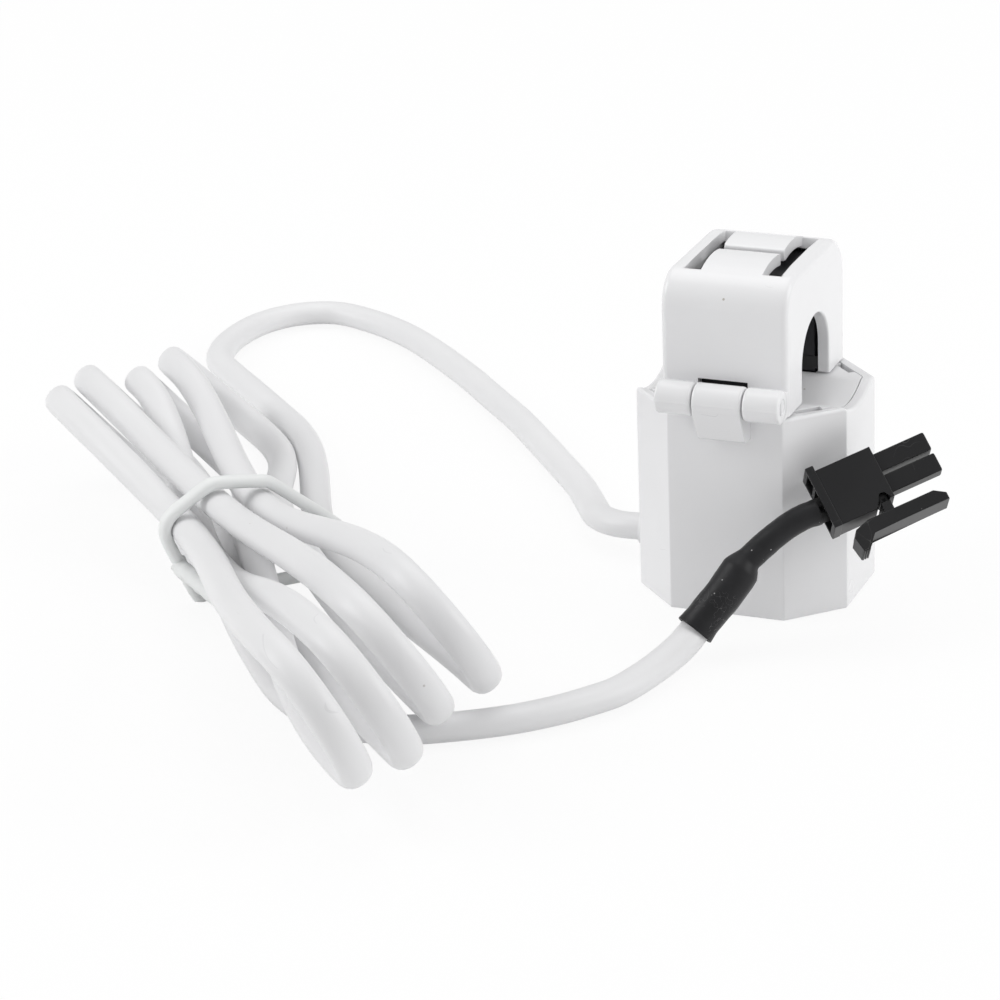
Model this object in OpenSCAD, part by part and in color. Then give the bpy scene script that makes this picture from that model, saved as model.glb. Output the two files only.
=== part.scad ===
// Split-core current clamp: an eight-sided case with a hinged cover, its lead tied in a hank,
// and a two-way latch connector. Millimetres. The origin is at the middle of the case's base,
// +X runs along the hinge and the conductor, -Y is the hinge side, +Z is up.

/* [Case] */
// Width of the left and right faces
side_face = 12.2; // [12:0.1:15]
// Leg of each cut corner
corner_cut = 6.4; // [6:0.1:7]
// Height of the case
case_h = 27.3; // [26:0.1:34]
// Wall of the case
case_wall = 1.4; // [1.2:0.1:1.6]
// Floor of the case
case_floor = 1.6; // [1.2:0.1:2]

/* [Lid] */
// Thickness of the lid
lid_t = 2.2; // [1.8:0.1:2.6]
// Clearance between the lid and the rim
lid_gap = 0.1; // [0.05:0.01:0.2]
// Width of the trough under the conductor
trough_w = 11; // [8:0.1:11.4]
// Depth of the trough
trough_d = 1.3; // [0.8:0.1:1.5]
// Length of each rim tooth that keys the lid
tooth_w = 3.4; // [2:0.1:4]
// Reach of each rim tooth
tooth_reach = 0.8; // [0.5:0.1:1]
// Diameter of the posts that carry the lid
post_d = 2.2; // [1.8:0.1:2.4]

/* [Core] */
// Width of the core along the conductor
core_w = 12.4; // [10:0.1:12.6]
// Thickness of the core legs
core_t = 4; // [3.4:0.1:4.1]
// Window between the core legs
core_window = 12; // [11.4:0.1:12.1]
// Thickness of the yokes
yoke_t = 4.2; // [3.4:0.1:4.6]
// Air gap between the two halves
pole_gap = 0.2; // [0.1:0.05:0.25]
// Offset of the conductor from the middle of the case
conductor_y = -0.7; // [-0.8:0.1:-0.6]

/* [Cover] */
// Wall of the cover
cover_wall = 1.5; // [1.2:0.1:1.6]
// Gap between the cover and the case rim
cover_gap = 0.3; // [0.25:0.05:0.5]
// Room between each side of the core and the cover
side_room = 0.6; // [0.5:0.1:1]
// Room in front of the front core leg
front_room = 0.2; // [0.1:0.05:0.25]
// Room behind the rear core leg
rear_room = 0.7; // [0.4:0.1:1]
// Height of the arch springing above the cover's lower edge
arch_up = 4.1; // [3.5:0.1:6]
// Lip of the arch inside the core window
arch_lip = 0.4; // [0.2:0.1:0.6]
// Room between the arch and the upper yoke
arch_over = 1.2; // [0.8:0.1:2]
// Room between the upper yoke and the cover's top face
top_room = 2.2; // [2:0.1:3]
// Radius of the cover's front top edge
front_r = 4.2; // [3:0.1:5]
// Radius of the cover's rear top edge
rear_r = 5.5; // [4:0.1:6]
// Distance of the top window from the cover's front
window_front = 3.7; // [3.2:0.1:4.4]
// Distance of the top window from the cover's rear
window_rear = 3.9; // [3.2:0.1:4.6]
// Lip beside the top window
window_lip = 0.5; // [0.3:0.1:1]
// Width of the spring tongues
tongue_w = 8; // [6:0.1:9]
// Thickness of the spring tongues
tongue_t = 1.5; // [1.2:0.1:1.7]
// Gap between the tips of the two tongues
tongue_gap = 1.3; // [0.8:0.1:2]
// Rise of the arched tongues above a straight line from root to tip
tongue_arch = 0.5; // [0.3:0.05:0.7]
// Lift of each tongue's tip above the cover's top face
tongue_lift = 0.3; // [0.1:0.05:0.5]

/* [Hinge] */
// Diameter of the hinge barrel
barrel_d = 4.3; // [3.8:0.1:4.4]
// Diameter of the hinge pin
pin_d = 2; // [1.6:0.1:2.2]
// Distance of the hinge axis in front of the case
hinge_out = 2.3; // [2.2:0.05:2.6]
// Height of the hinge axis above the case rim
hinge_up = 2.55; // [2.45:0.05:3]
// Width of the middle knuckle
knuckle_w = 6.4; // [5:0.1:8]
// Side gap between the knuckles
knuckle_gap = 0.2; // [0.15:0.05:0.4]
// Radial running clearance of the hinge pin
pin_play = 0.05; // [0.02:0.01:0.08]
// Offset of the knuckles along the hinge
hinge_shift = 0.3; // [0:0.05:0.4]
// Distance of the outer knuckle ends from the cover's sides
hinge_inset = 0.2; // [0.1:0.05:0.4]
// Drop of the hinge tab below the rim
hinge_tab = 3; // [2.4:0.1:6]

/* [Snap] */
// Width of the snap tab on the cover's rear
snap_w = 8; // [7:0.1:10]
// Thickness of the snap tab
snap_t = 1.2; // [1:0.1:1.6]
// Gap between the snap tab and the case
snap_gap = 0.3; // [0.25:0.05:0.5]
// Overlap of the catch and the snap tab
snap_hold = 0.2; // [0.1:0.05:0.25]
// Play below the catch
snap_play = 1; // [0.9:0.1:1.2]
// Width of the catch
catch_w = 4.6; // [3:0.1:5]
// Height of the catch
catch_h = 2; // [1.4:0.1:2.4]
// Drop of the catch below the rim
catch_drop = 3.4; // [3:0.1:5]

/* [Coil] */
// Clearance between the bobbin and the core
bobbin_gap = 0.15; // [0.1:0.05:0.25]
// Wall of the bobbin
bobbin_wall = 0.8; // [0.6:0.1:1]
// Thickness of the winding
coil_build = 2.4; // [1.6:0.1:2.6]
// Thickness of the tape over the winding
tape_t = 0.25; // [0.1:0.05:0.3]
// Height of the board above the winding
board_room = 2; // [1.4:0.1:2.6]
// Lip of the bobbin flanges beside the winding
flange_lip = 0.6; // [0.4:0.1:0.7]
// Clearance between the bobbin flanges and the inner leads
coil_clear = 0.25; // [0.2:0.05:0.4]
// Room between the parts on the board and the lid
lid_room = 2.5; // [1.5:0.1:3]
// Width of the board
board_w = 18; // [15:0.1:18.6]
// Thickness of the board
board_t = 1.2; // [0.8:0.1:1.6]
// Diameter of the burden resistor
resistor_d = 2.4; // [1.8:0.1:2.6]
// Length of the burden resistor
resistor_l = 6.4; // [4:0.1:7]
// Diameter of the surge suppressor
suppressor_d = 2.8; // [2:0.1:3]
// Length of the surge suppressor
suppressor_l = 5.2; // [4:0.1:7]
// Diameter of the wire legs on the board
leg_d = 0.6; // [0.5:0.1:0.8]

/* [Gland] */
// Height of the gland above the base
gland_z = 4; // [3.9:0.1:4.5]
// Offset of the gland along the left face
gland_y = 3.2; // [2.8:0.1:3.3]
// Diameter of the gland's collar
gland_d = 5.6; // [5:0.1:6]
// Diameter of the gland's neck in the wall
neck_d = 4.4; // [4:0.1:4.8]
// Length of the gland's collar
gland_l = 3; // [2:0.1:3]
// Thickness of the gland's inner flange
gland_flange = 0.8; // [0.6:0.1:1]
// Diameter of the inner leads
inner_lead_d = 1; // [0.8:0.1:1.1]
// Spacing of the inner leads
inner_pitch = 1.8; // [1.4:0.1:2.2]

/* [Lead] */
// Width of the flat oval lead
lead_w = 4.2; // [4:0.1:4.2]
// Thickness of the flat oval lead
lead_t = 3.4; // [3:0.1:3.5]
// Width of the coated wire tie
tie_w = 2; // [1.6:0.1:2.2]
// Thickness of the coated wire tie
tie_t = 0.9; // [0.8:0.1:1]
// Clearance of the tie round the hank
tie_gap = 0.25; // [0.2:0.05:0.3]
// Diameter of the heat-shrink at its open end
shrink_d = 5; // [4.6:0.1:5.4]
// Diameter of the heat-shrink where it grips the wires
shrink_neck_d = 3.4; // [3:0.1:3.6]

/* [Connector] */
// Pitch of the two contacts
pin_pitch = 3; // [3:0.1:3.2]
// Diameter of the connector wires
wire_d = 1.5; // [1.2:0.1:1.6]
// Length of the connector flange
flange_l = 1.1; // [1:0.1:2]
// Height of the connector flange
flange_h = 8.5; // [8:0.1:8.8]
// Thickness of the connector flange
flange_t = 4.8; // [4.6:0.1:5.2]
// Length of the housing block, with its flange
block_l = 8.6; // [8.2:0.1:9.4]
// Height of the housing block
block_h = 7.1; // [6.9:0.1:7.4]
// Thickness of the housing block
block_t = 4.5; // [4.4:0.1:4.6]
// Reach of the terminal prongs
prong_l = 15.8; // [15:0.1:17]
// Width of each terminal prong
prong_w = 2.5; // [2.3:0.1:2.6]
// Thickness of each terminal prong
prong_t = 2.2; // [2.1:0.1:2.6]
// Diameter of the contact cavities
cavity_d = 1.6; // [1.5:0.05:1.7]
// Length of the rail under the housing block
rail_l = 6; // [5:0.1:6.2]
// Width of the latch lever
latch_w = 4.2; // [3.8:0.1:4.4]
// Thickness of the latch lever
latch_t = 1.8; // [1.5:0.1:2]
// Gap between the lever and the housing block
latch_gap = 1.35; // [1.2:0.05:1.5]
// Distance of the lever's end from the prong tips
latch_short = 1.15; // [0.6:0.05:1.5]
// Diameter of the latch pivot
latch_pivot_d = 1.2; // [1.1:0.1:1.3]
// Length of the latch pivot
latch_pivot_l = 3.2; // [2.8:0.1:3.4]
// Distance of the pivot from the flange's rear
latch_pivot_x = 7.25; // [7.15:0.05:7.4]
// Running clearance of the latch pivot
latch_play = 0.06; // [0.03:0.01:0.09]

/* [Hidden] */
$fn = 48;

// Overshoot of every cut
cut = 1;

// Widths of the coil, from the core outwards
tube_half = core_w/2 + bobbin_gap;
spool_half = tube_half + bobbin_wall;
coil_half = spool_half + coil_build;
flange_half = coil_half + flange_lip;
coil_fit = 0.05;

// Case, wide enough for the coil and the inner leads beside it
lead_bend = 0.9;
lead_room = gland_flange + lead_bend + inner_lead_d/2 + coil_clear;
half_x = flange_half + lead_room + case_wall;
half_y = side_face/2 + corner_cut;
front_face = 2*(half_x - corner_cut);

// Lid
lid_z = case_h - lid_t;
trough_r = (trough_w*trough_w/4 + trough_d*trough_d)/(2*trough_d);

// Board, coil and lower yoke, stacked down from the lid
board_top = lid_z - lid_room - max(resistor_d, suppressor_d) - coil_fit;
board_z = board_top - board_t;
board_clear = 0.5;
part_y = core_window/4;
leg_reach = 1;
spool_z1 = board_z - board_room - coil_build;
lower_yoke_top = spool_z1 - bobbin_wall - bobbin_gap;
lower_yoke_z = lower_yoke_top - yoke_t;
spool_z0 = lower_yoke_z - bobbin_gap - bobbin_wall;

// Core
leg_in_front = conductor_y - core_window/2;
leg_in_rear = conductor_y + core_window/2;
coil_y0 = leg_in_front + bobbin_gap;
coil_y1 = leg_in_rear - bobbin_gap;
pole_clear = 0.1;

// Cover
cover_z0 = case_h + cover_gap;
cover_y0 = leg_in_front - core_t - front_room - cover_wall;
cover_y1 = leg_in_rear + core_t + rear_room + cover_wall;
cover_in = core_w/2 + side_room;
cover_half = cover_in + cover_wall;
arch_r = core_window/2 - arch_lip;
arch_z = cover_z0 + arch_up;
upper_yoke_z = arch_z + arch_r + arch_over;
core_top = upper_yoke_z + yoke_t;
cover_z1 = core_top + top_room;
window_y0 = cover_y0 + window_front;
window_y1 = cover_y1 - window_rear;
tongue_pad = 1.2;
tongue_pad_in = 0.6;
tongue_foot = 0.4;
tongue_touch = 0.05;
shoe_h = 1.6;
shoe_gap = 0.15;
shoe_lift = 0.4;

// Hinge
hinge_y = -half_y - hinge_out;
hinge_z = case_h + hinge_up;
barrel_r = barrel_d/2;
pin_seat = 0.02;
pin_sink = 0.3;
web_rise = 1.2;
hinge_x0 = hinge_shift - cover_half + hinge_inset;
hinge_x1 = hinge_shift + cover_half - hinge_inset;
knuckle_x0 = hinge_shift - knuckle_w/2;
knuckle_x1 = hinge_shift + knuckle_w/2;
// Shares of the barrel that shape the wedge under the middle knuckle
wedge_in = 0.75;
wedge_back = 0.6;
wedge_fall = 1.3;

// Snap tab and catch
snap_y0 = half_y + snap_gap;
catch_top = case_h - catch_drop;
catch_z = catch_top - catch_h;
catch_land = catch_h/3;
snap_bar = 2;
snap_window_z = catch_z - snap_play;
snap_side = 0.4;
snap_root_h = 5;

// Gland and inner leads
gland_face = half_x + gland_l;
lead_clear = 0.4;
inner_lead_x = -half_x + case_wall + gland_flange + lead_bend;
inner_lead_top = board_top + inner_lead_d/2 + coil_fit;
inner_lead_end = -core_w/2 - lead_clear;

// Lead, laid on the table: its middle line lies this far above the surface
lead_rest = 1.9;
exit_dir = [-1, 0, 0];

// Hank: loops between far and near folds, drawn together at the tie
hank_at = [-53, -29.5];
hank_turn = -44.5;
fold_r = 9;
hank_loops = 4;
far_rings = 5;
near_rings = 6;
run_rings = far_rings + near_rings;
fold_rings = 7;
rings_a_loop = 2*(run_rings + fold_rings);
waist_s = -11;
hank_end = hank_loops*rings_a_loop + far_rings;
hank_d = [cos(hank_turn), sin(hank_turn), 0];
hank_v = [-sin(hank_turn), cos(hank_turn), 0];
up = [0, 0, 1];

// Folds in the order in which the lead passes: along the hank, across it, height of the lower run, lean
near_folds = [[39, 8.75, 6, 58], [44.5, 0.25, 6, 58], [54, -7.85, 6, 62], [56, -15, 6, 64]];
far_folds = [
  [-58.5, 18.3, lead_rest, 46], [-55, 3.9, lead_rest, 50], [-51, 10, lead_rest, 50],
  [-49, -2.2, lead_rest, 50]
];
hank_start = [-62, 23.3, lead_rest];

// Places of the runs at the tie, across the hank and up, in the order in which the lead passes
waist_places = [
  [9.6, 3.9], [0.2, 11.9], [3.3, 8.7], [-5.6, 12.8], [-2.1, 2.5], [-7.1, 6], [-1.5, 7], [-10, 10.3], [-6.5, 2]
];

// A loop is a lower run from far to near, the near fold, an upper run back and the far fold
upper_t = run_rings + fold_rings;
far_t = upper_t + run_rings;
function hank_loop(j) = floor(j/rings_a_loop);
function hank_t(j) = j - rings_a_loop*hank_loop(j);
function is_near(t) = t >= far_rings && t <= upper_t + near_rings;

// Share of the way from a fold to the tie, 0 on the folds
function tie_share(t) =
  t < far_rings ? t/far_rings :
  t < run_rings ? (run_rings - t)/near_rings :
  t < upper_t ? 0 :
  t <= upper_t + near_rings ? (t - upper_t)/near_rings :
  t < far_t ? (far_t - t)/far_rings : 0;

function ease(u) = u*u*(3 - 2*u);

// Place on a fold as along, across and up; the bend is 0 at its lower run and 180 at its upper run
function fold_place(fold, way, bend) =
  let (q = fold_r*(1 - cos(bend)))
  [fold[0] + way*fold_r*sin(bend), fold[1] - q*cos(fold[3]), fold[2] + q*sin(fold[3])];

// Ends of run n, where lower runs are even and upper runs odd
function far_end(n) =
  n % 2 == 1 ? fold_place(far_folds[floor(n/2)], -1, 180) :
  n == 0 ? hank_start : fold_place(far_folds[n/2 - 1], -1, 0);
function near_end(n) = fold_place(near_folds[min(floor(n/2), hank_loops - 1)], 1, 180*(n % 2));

// Way a run passes the tie; the last run ends there and leaves straight
function waist_slope(n) =
  n == 2*hank_loops ? [1, 0, 0] : (near_end(n) - far_end(n))/(near_end(n)[0] - far_end(n)[0]);

// Place on run n, from its far or near end to the tie
function run_place(n, near, u) =
  let (
    from = near ? near_end(n) : far_end(n),
    to = [waist_s, waist_places[n][0], waist_places[n][1]],
    slope = waist_slope(n),
    reach = to[0] - from[0],
    e = ease(u),
    carry = u*u*(u - 1)*reach
  )
  [
    from[0] + reach*u,
    from[1] + (to[1] - from[1])*e + slope[1]*carry,
    from[2] + (to[2] - from[2])*e + slope[2]*carry
  ];

function hank_place(j) =
  let (
    i = hank_loop(j),
    t = hank_t(j)
  )
  t < run_rings ? run_place(2*i, is_near(t), tie_share(t)) :
  t < upper_t ? fold_place(near_folds[i], 1, 180*(t - run_rings)/fold_rings) :
  t < far_t ? run_place(2*i + 1, is_near(t), tie_share(t)) :
  fold_place(far_folds[i], -1, 180*(1 - (t - far_t)/fold_rings));

function hank_point(j) =
  let (p = hank_place(j))
  [hank_at[0], hank_at[1], 0] + p[0]*hank_d + p[1]*hank_v + p[2]*up;

// Lean of the fold next to a ring; the lead comes in level
function fold_lean(i, t) =
  is_near(t) ? near_folds[min(i, hank_loops - 1)][3] :
  t > far_rings ? far_folds[i][3] :
  i == 0 ? 90 : far_folds[i - 1][3];

// Wide axis of the lead: square to the loop at the folds, level at the tie and at the start
function hank_side(j) =
  let (
    t = hank_t(j),
    tilt = (90 - fold_lean(hank_loop(j), t))*(1 - ease(tie_share(t)))
  )
  cos(tilt)*hank_v + sin(tilt)*up;

hank_points = [for (j = [0:hank_end]) hank_point(j)];
hank_sides = [for (j = [0:hank_end]) hank_side(j)];

// Least gap of the hank to itself, measured between points along its middle line
gap_steps = 4;
gap_skip = 5;
function between(list) = [
  for (j = [0:hank_end - 1], f = [0:gap_steps - 1])
    list[j] + (list[j + 1] - list[j])*f/gap_steps
];
function half_size(n, side) = sqrt(pow(lead_w*(n*side), 2) + pow(lead_t, 2)*(1 - pow(n*side, 2)))/2;
fine_points = between(hank_points);
fine_sides = between(hank_sides);
least_gap = min([
  for (a = [0:len(fine_points) - 1])
    for (b = [a + gap_skip*gap_steps:1:len(fine_points) - 1])
      let (d = fine_points[b] - fine_points[a])
      norm(d) - half_size(d/norm(d), fine_sides[a]) - half_size(d/norm(d), fine_sides[b])
]);
echo("least gap of the hank to itself", least_gap);  // cable_hank

// Free stretches of the lead
lead_in_points = [
  [-gland_face, gland_y, gland_z], [-20.5, 3.6, 3.8], [-24.2, 6.5, 3.2], [-27.4, 11.8, 2.5],
  [-31.5, 18.5, 2.1], [-38, 27, lead_rest], [-49, 40.5, lead_rest], [-56, 48, lead_rest],
  [-63, 55.5, lead_rest], [-73.5, 65.5, lead_rest], [-80.5, 71, lead_rest], [-88, 75, lead_rest],
  [-94, 76.5, lead_rest], [-99.5, 74, lead_rest], [-102.9, 68.8, lead_rest], [-104, 62, lead_rest],
  [-103.4, 56, lead_rest], [-101.4, 51, lead_rest], [-97.4, 46.7, lead_rest], [-92.3, 41.8, lead_rest],
  hank_points[0] - lead_w*hank_d, hank_points[0]
];
lead_out_points = [
  hank_points[hank_end], hank_points[hank_end] + lead_w*hank_d, [-55.4, -39.1, lead_rest],
  [-49.3, -47.1, lead_rest], [-43, -54.6, lead_rest], [-36.8, -59.4, lead_rest],
  [-30.5, -61.4, lead_rest], [-24.1, -60.4, lead_rest], [-18.5, -57.6, lead_rest],
  [-13.2, -54, lead_rest], [-9.2, -50.2, lead_rest], [-6.2, -46.4, lead_rest],
  [-3.8, -42.5, lead_rest], [-2, -36.5, 2], [-1, -31, 2.1], [-0.4, -28, 2.5], [0.3, -25.8, 3.5]
];

// Connector, turned to where it leans on the case
connector_shift = [-1.16, -1.82, 17.35];
connector_at = [half_x + connector_shift[0], -half_y + connector_shift[1], connector_shift[2]];
connector_turn = [47.5, -17.3, 37.6];
// Directions of the connector's length and of its height
connector_dir = [
  cos(connector_turn[1])*cos(connector_turn[2]), cos(connector_turn[1])*sin(connector_turn[2]),
  -sin(connector_turn[1])
];
connector_high = [
  cos(connector_turn[2])*sin(connector_turn[1])*sin(connector_turn[0])
    - sin(connector_turn[2])*cos(connector_turn[0]),
  sin(connector_turn[2])*sin(connector_turn[1])*sin(connector_turn[0])
    + cos(connector_turn[2])*cos(connector_turn[0]),
  cos(connector_turn[1])*sin(connector_turn[0])
];
wire_reach = 0.6;
wire_shift = -0.8;
wire_pitch = 1.8;
wire_touch = 0.05;

// Heat-shrink, from its open end on the lead to the wires of the connector
rim_dir = [0.45, 0.6, 0.66];
shrink_points = [
  [0.3, -25.8, 3.5], [1.7, -24.7, 5.5], [3.1, -23.5, 7.4], [4.3, -22.2, 9.3], [5.4, -20.9, 11.2],
  [6.1, -20.3, 12], [7.1, -19.4, 13], [8.4, -18.5, 14.2], [9.8, -17.4, 15.3], [11.4, -16.2, 16.2],
  connector_at - wire_reach*connector_dir + wire_shift*connector_high
];
shrink_shoulder = 5;

// Tail of the tie: places along the hank, across it and above the table
tail_route = [
  [waist_s, -11.3, 5.5], [-6.5, -11, 5.3], [-1, -10.4, 5], [5, -9.9, 5], [10, -9.6, 5], [14, -9.3, 5]
];
tail_points = [
  for (p = tail_route) [hank_at[0], hank_at[1], 0] + p[0]*hank_d + p[1]*hank_v + p[2]*up
];
tail_steps = 4;
tail_turn = 75;
tail_share = 0.6;

// Latch lever: faces towards and away from the housing, thumb pad and bevelled tip
lever_in = -block_h/2 - latch_gap;
lever_out = lever_in - latch_t;
lever_end = prong_l - latch_short;
bevel_l = 1.4;
bevel_h = 0.9;
pad_x = 1.7;
pad_l = 2.5;
pad_drop = 1.6;
pad_tip = 1;
pad_lean = 0.3;
pad_nose = 0.6;
arm_x = pad_x + pad_l;
pivot_rise = 0.45;
pivot_y = -block_h/2 + pivot_rise;
post_w = 1.3;
post_gap = 0.15;
pivot_neck_w = 0.6;
pivot_slot_w = 1;
contact_short = 1;

// Shared shapes

function unit(v) = v/norm(v);

module octagon(inset) {
  x = half_x - inset;
  y = half_y - inset;
  c = corner_cut - inset*(2 - sqrt(2));
  polygon([
    [x, c - y], [x, y - c], [x - c, y], [c - x, y],
    [-x, y - c], [-x, c - y], [c - x, -y], [x - c, -y]
  ]);
}

// Places children on the four cut corners, with +X out through the corner face
module at_corners() {
  for (sx = [-1, 1], sy = [-1, 1])
    mirror([sx < 0 ? 1 : 0, 0, 0])
      mirror([0, sy < 0 ? 1 : 0, 0])
        translate([(half_x + front_face/2)/2, (half_y + side_face/2)/2, 0])
          rotate([0, 0, 45])
            children();
}

module block(x0, x1, y0, y1, z0, z1) {
  translate([x0, y0, z0])
    cube([x1 - x0, y1 - y0, z1 - z0]);
}

// Cylinder along X
module rod_x(x0, x1, y, z, r) {
  translate([x0, y, z])
    rotate([0, 90, 0])
      cylinder(r = r, h = x1 - x0);
}

// Extrudes a profile drawn in Y and Z along X
module along_x(x0, x1) {
  translate([x0, 0, 0])
    rotate([90, 0, 90])
      linear_extrude(x1 - x0)
        children();
}

module trough() {
  rod_x(-half_x - cut, half_x + cut, conductor_y, case_h - trough_d + trough_r, trough_r, $fn = 96);
}

module core_legs(grow, z0, z1) {
  for (y = [leg_in_front - core_t, leg_in_rear])
    block(-core_w/2 - grow, core_w/2 + grow, y - grow, y + core_t + grow, z0, z1);
}

// Sweeps an oval along points: side gives each ring's wide axis, wide and thick its half sizes
function run_dir(p, i) = unit(p[min(i + 1, len(p) - 1)] - p[max(i - 1, 0)]);

function oval_ring(at, dir, side, wide, thick, n) =
  let (a = unit(side - (side*dir)*dir), b = cross(dir, a))
  [for (k = [0:n - 1]) at + wide*cos(360*k/n)*a + thick*sin(360*k/n)*b];

module sweep(points, sides, wides, thicks, dir0, dir1, n) {
  last = len(points) - 1;
  rings = [
    for (i = [0:last])
      oval_ring(points[i], i == 0 ? dir0 : i == last ? dir1 : run_dir(points, i),
                sides[i], wides[i], thicks[i], n)
  ];
  skin = [
    for (i = [0:last - 1], k = [0:n - 1], h = [0, 1])
      let (a = i*n + k, b = i*n + (k + 1) % n)
      h == 0 ? [a, b + n, b] : [a, a + n, b + n]
  ];
  caps = [
    for (k = [1:n - 2], h = [0, 1])
      h == 0 ? [0, k, k + 1] : [last*n, last*n + k + 1, last*n + k]
  ];
  polyhedron(points = [for (r = rings, p = r) p], faces = concat(skin, caps));
}

// Free stretch of lead with its wide axis level
module free_lead(points, dir0, dir1) {
  count = len(points);
  sweep(
    points,
    [for (i = [0:count - 1])
      cross(up, i == 0 ? dir0 : i == count - 1 ? dir1 : run_dir(points, i))],
    [for (p = points) lead_w/2],
    [for (p = points) lead_t/2],
    dir0, dir1, 10
  );
}

// Round component on the board, with its two wire legs
module axial_part(y, d, l) {
  reach = l/2 + leg_reach;
  z = board_top + d/2 + coil_fit;
  rod_x(-l/2, l/2, y, z, d/2);
  rod_x(-reach, reach, y, z, leg_d/2);
  for (x = [-reach, reach])
    translate([x, y, board_top])
      cylinder(d = leg_d, h = z - board_top + leg_d/2);
}

// Sub-parts

module body_case() {
  color("white")
    union() {
      difference() {
        union() {
          difference() {
            linear_extrude(case_h)
              octagon(0);
            translate([0, 0, case_floor])
              linear_extrude(case_h)
                octagon(case_wall);
          }
          intersection() {
            at_corners() {
              translate([-case_wall - post_d/4, 0, case_floor - cut/2])
                cylinder(d = post_d, h = lid_z - case_floor + cut/2);
              translate([-case_wall - tooth_reach, -tooth_w/2, lid_z - cut])
                cube([tooth_reach + case_wall/2, tooth_w, lid_t + cut]);
            }
            linear_extrude(case_h)
              octagon(case_wall/2);
          }
        }
        trough();
        rod_x(-half_x - cut, -half_x + case_wall + cut, gland_y, gland_z, neck_d/2 + lid_gap);
      }
      hinge_tab_body();
      catch_body();
    }
}

// Middle hinge knuckle and the wedge that ties it to the case
module hinge_tab_body() {
  difference() {
    union() {
      rod_x(knuckle_x0, knuckle_x1, hinge_y, hinge_z, barrel_r);
      along_x(knuckle_x0, knuckle_x1)
        polygon([
          [hinge_y - barrel_r, hinge_z],
          [hinge_y - barrel_r*wedge_in, hinge_z - barrel_r*wedge_fall],
          [-half_y, case_h - hinge_tab], [-half_y, case_h - lid_gap],
          [hinge_y + barrel_r*wedge_back, hinge_z - barrel_r*wedge_in],
          [hinge_y, hinge_z]
        ]);
    }
    rod_x(knuckle_x0 - cut, knuckle_x1 + cut, hinge_y, hinge_z, pin_d/2 + pin_play);
  }
}

// Wedge on the rear face that the snap tab hooks under
module catch_body() {
  reach = snap_gap + snap_hold;
  along_x(-catch_w/2, catch_w/2)
    polygon([
      [half_y, catch_z], [half_y + reach, catch_z], [half_y + reach, catch_z + catch_land],
      [half_y, catch_top]
    ]);
}

module body_lid() {
  color("whitesmoke")
    difference() {
      translate([0, 0, lid_z])
        linear_extrude(lid_t)
          octagon(case_wall + lid_gap);
      core_legs(pole_clear, lid_z - cut, case_h + cut);
      at_corners()
        translate([-case_wall - tooth_reach - lid_gap, -tooth_w/2 - lid_gap, lid_z - cut])
          cube([2*tooth_reach, tooth_w + 2*lid_gap, lid_t + 2*cut]);
      trough();
    }
}

// Side profile of the cover in Y and Z, shrunk by an inset
module cover_profile(inset) {
  y0 = cover_y0 + inset;
  y1 = cover_y1 - inset;
  z0 = cover_z0 - (inset > 0 ? cut : 0);
  z1 = cover_z1 - inset;
  rf = front_r - inset;
  rr = rear_r - inset;
  translate([y0, z0])
    square([y1 - y0 - rr, z1 - rf - z0]);
  translate([y0 + rf, z0])
    square([y1 - rr - y0 - rf, z1 - z0]);
  translate([y0 + rf, z0])
    square([y1 - y0 - rf, z1 - rr - z0]);
  translate([y0 + rf, z1 - rf])
    circle(rf);
  translate([y1 - rr, z1 - rr])
    circle(rr);
}

module core_cover() {
  color("white")
    difference() {
      union() {
        difference() {
          along_x(-cover_half, cover_half)
            cover_profile(0);
          along_x(-cover_in, cover_in)
            cover_profile(cover_wall);
          rod_x(-cover_half - cut, cover_half + cut, conductor_y, arch_z, arch_r);
          block(-cover_half - cut, cover_half + cut, conductor_y - arch_r, conductor_y + arch_r,
                cover_z0 - cut, arch_z);
          block(-cover_in + window_lip, cover_in - window_lip, window_y0, window_y1,
                core_top - cut, cover_z1 + cut);
        }
        tongue(window_y0, conductor_y - tongue_gap/2, 1);
        tongue(window_y1, conductor_y + tongue_gap/2, -1);
        cover_knuckles();
        snap_tab();
      }
      rod_x(-cover_half - cut, cover_half + cut, hinge_y, hinge_z, pin_d/2 + pin_seat);
    }
}

// Arched spring tongue from a root to its tip, with the pad that presses on the yoke
module tongue(root, tip, way) {
  span = abs(tip - root);
  lean = atan(tongue_lift/span);
  chord = span/cos(lean);
  arc_r = chord*chord/(8*tongue_arch) + tongue_arch/2;
  drop = arc_r - tongue_arch;
  y = (root + tip)/2 + way*drop*sin(lean);
  z = cover_z1 + tongue_lift/2 - drop*cos(lean);
  foot = root - way*tongue_foot;
  pad = tip - way*tongue_pad_in;
  intersection() {
    difference() {
      rod_x(-tongue_w/2, tongue_w/2, y, z, arc_r, $fn = 180);
      rod_x(-tongue_w, tongue_w, y, z, arc_r - tongue_t, $fn = 180);
    }
    block(-tongue_w, tongue_w, min(foot, tip), max(foot, tip), core_top, core_top + arc_r);
  }
  block(-tongue_w/4, tongue_w/4, min(pad, pad - way*tongue_pad), max(pad, pad - way*tongue_pad),
        core_top + tongue_touch, cover_z1 - tongue_t/2);
}

module cover_knuckles() {
  for (ends = [[hinge_x0, knuckle_x0 - knuckle_gap], [knuckle_x1 + knuckle_gap, hinge_x1]]) {
    rod_x(ends[0], ends[1], hinge_y, hinge_z, barrel_r);
    block(ends[0], min(ends[1], cover_half), hinge_y, cover_y0 + cover_wall/2,
          cover_z0 + lid_gap, hinge_z + web_rise);
  }
}

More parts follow.
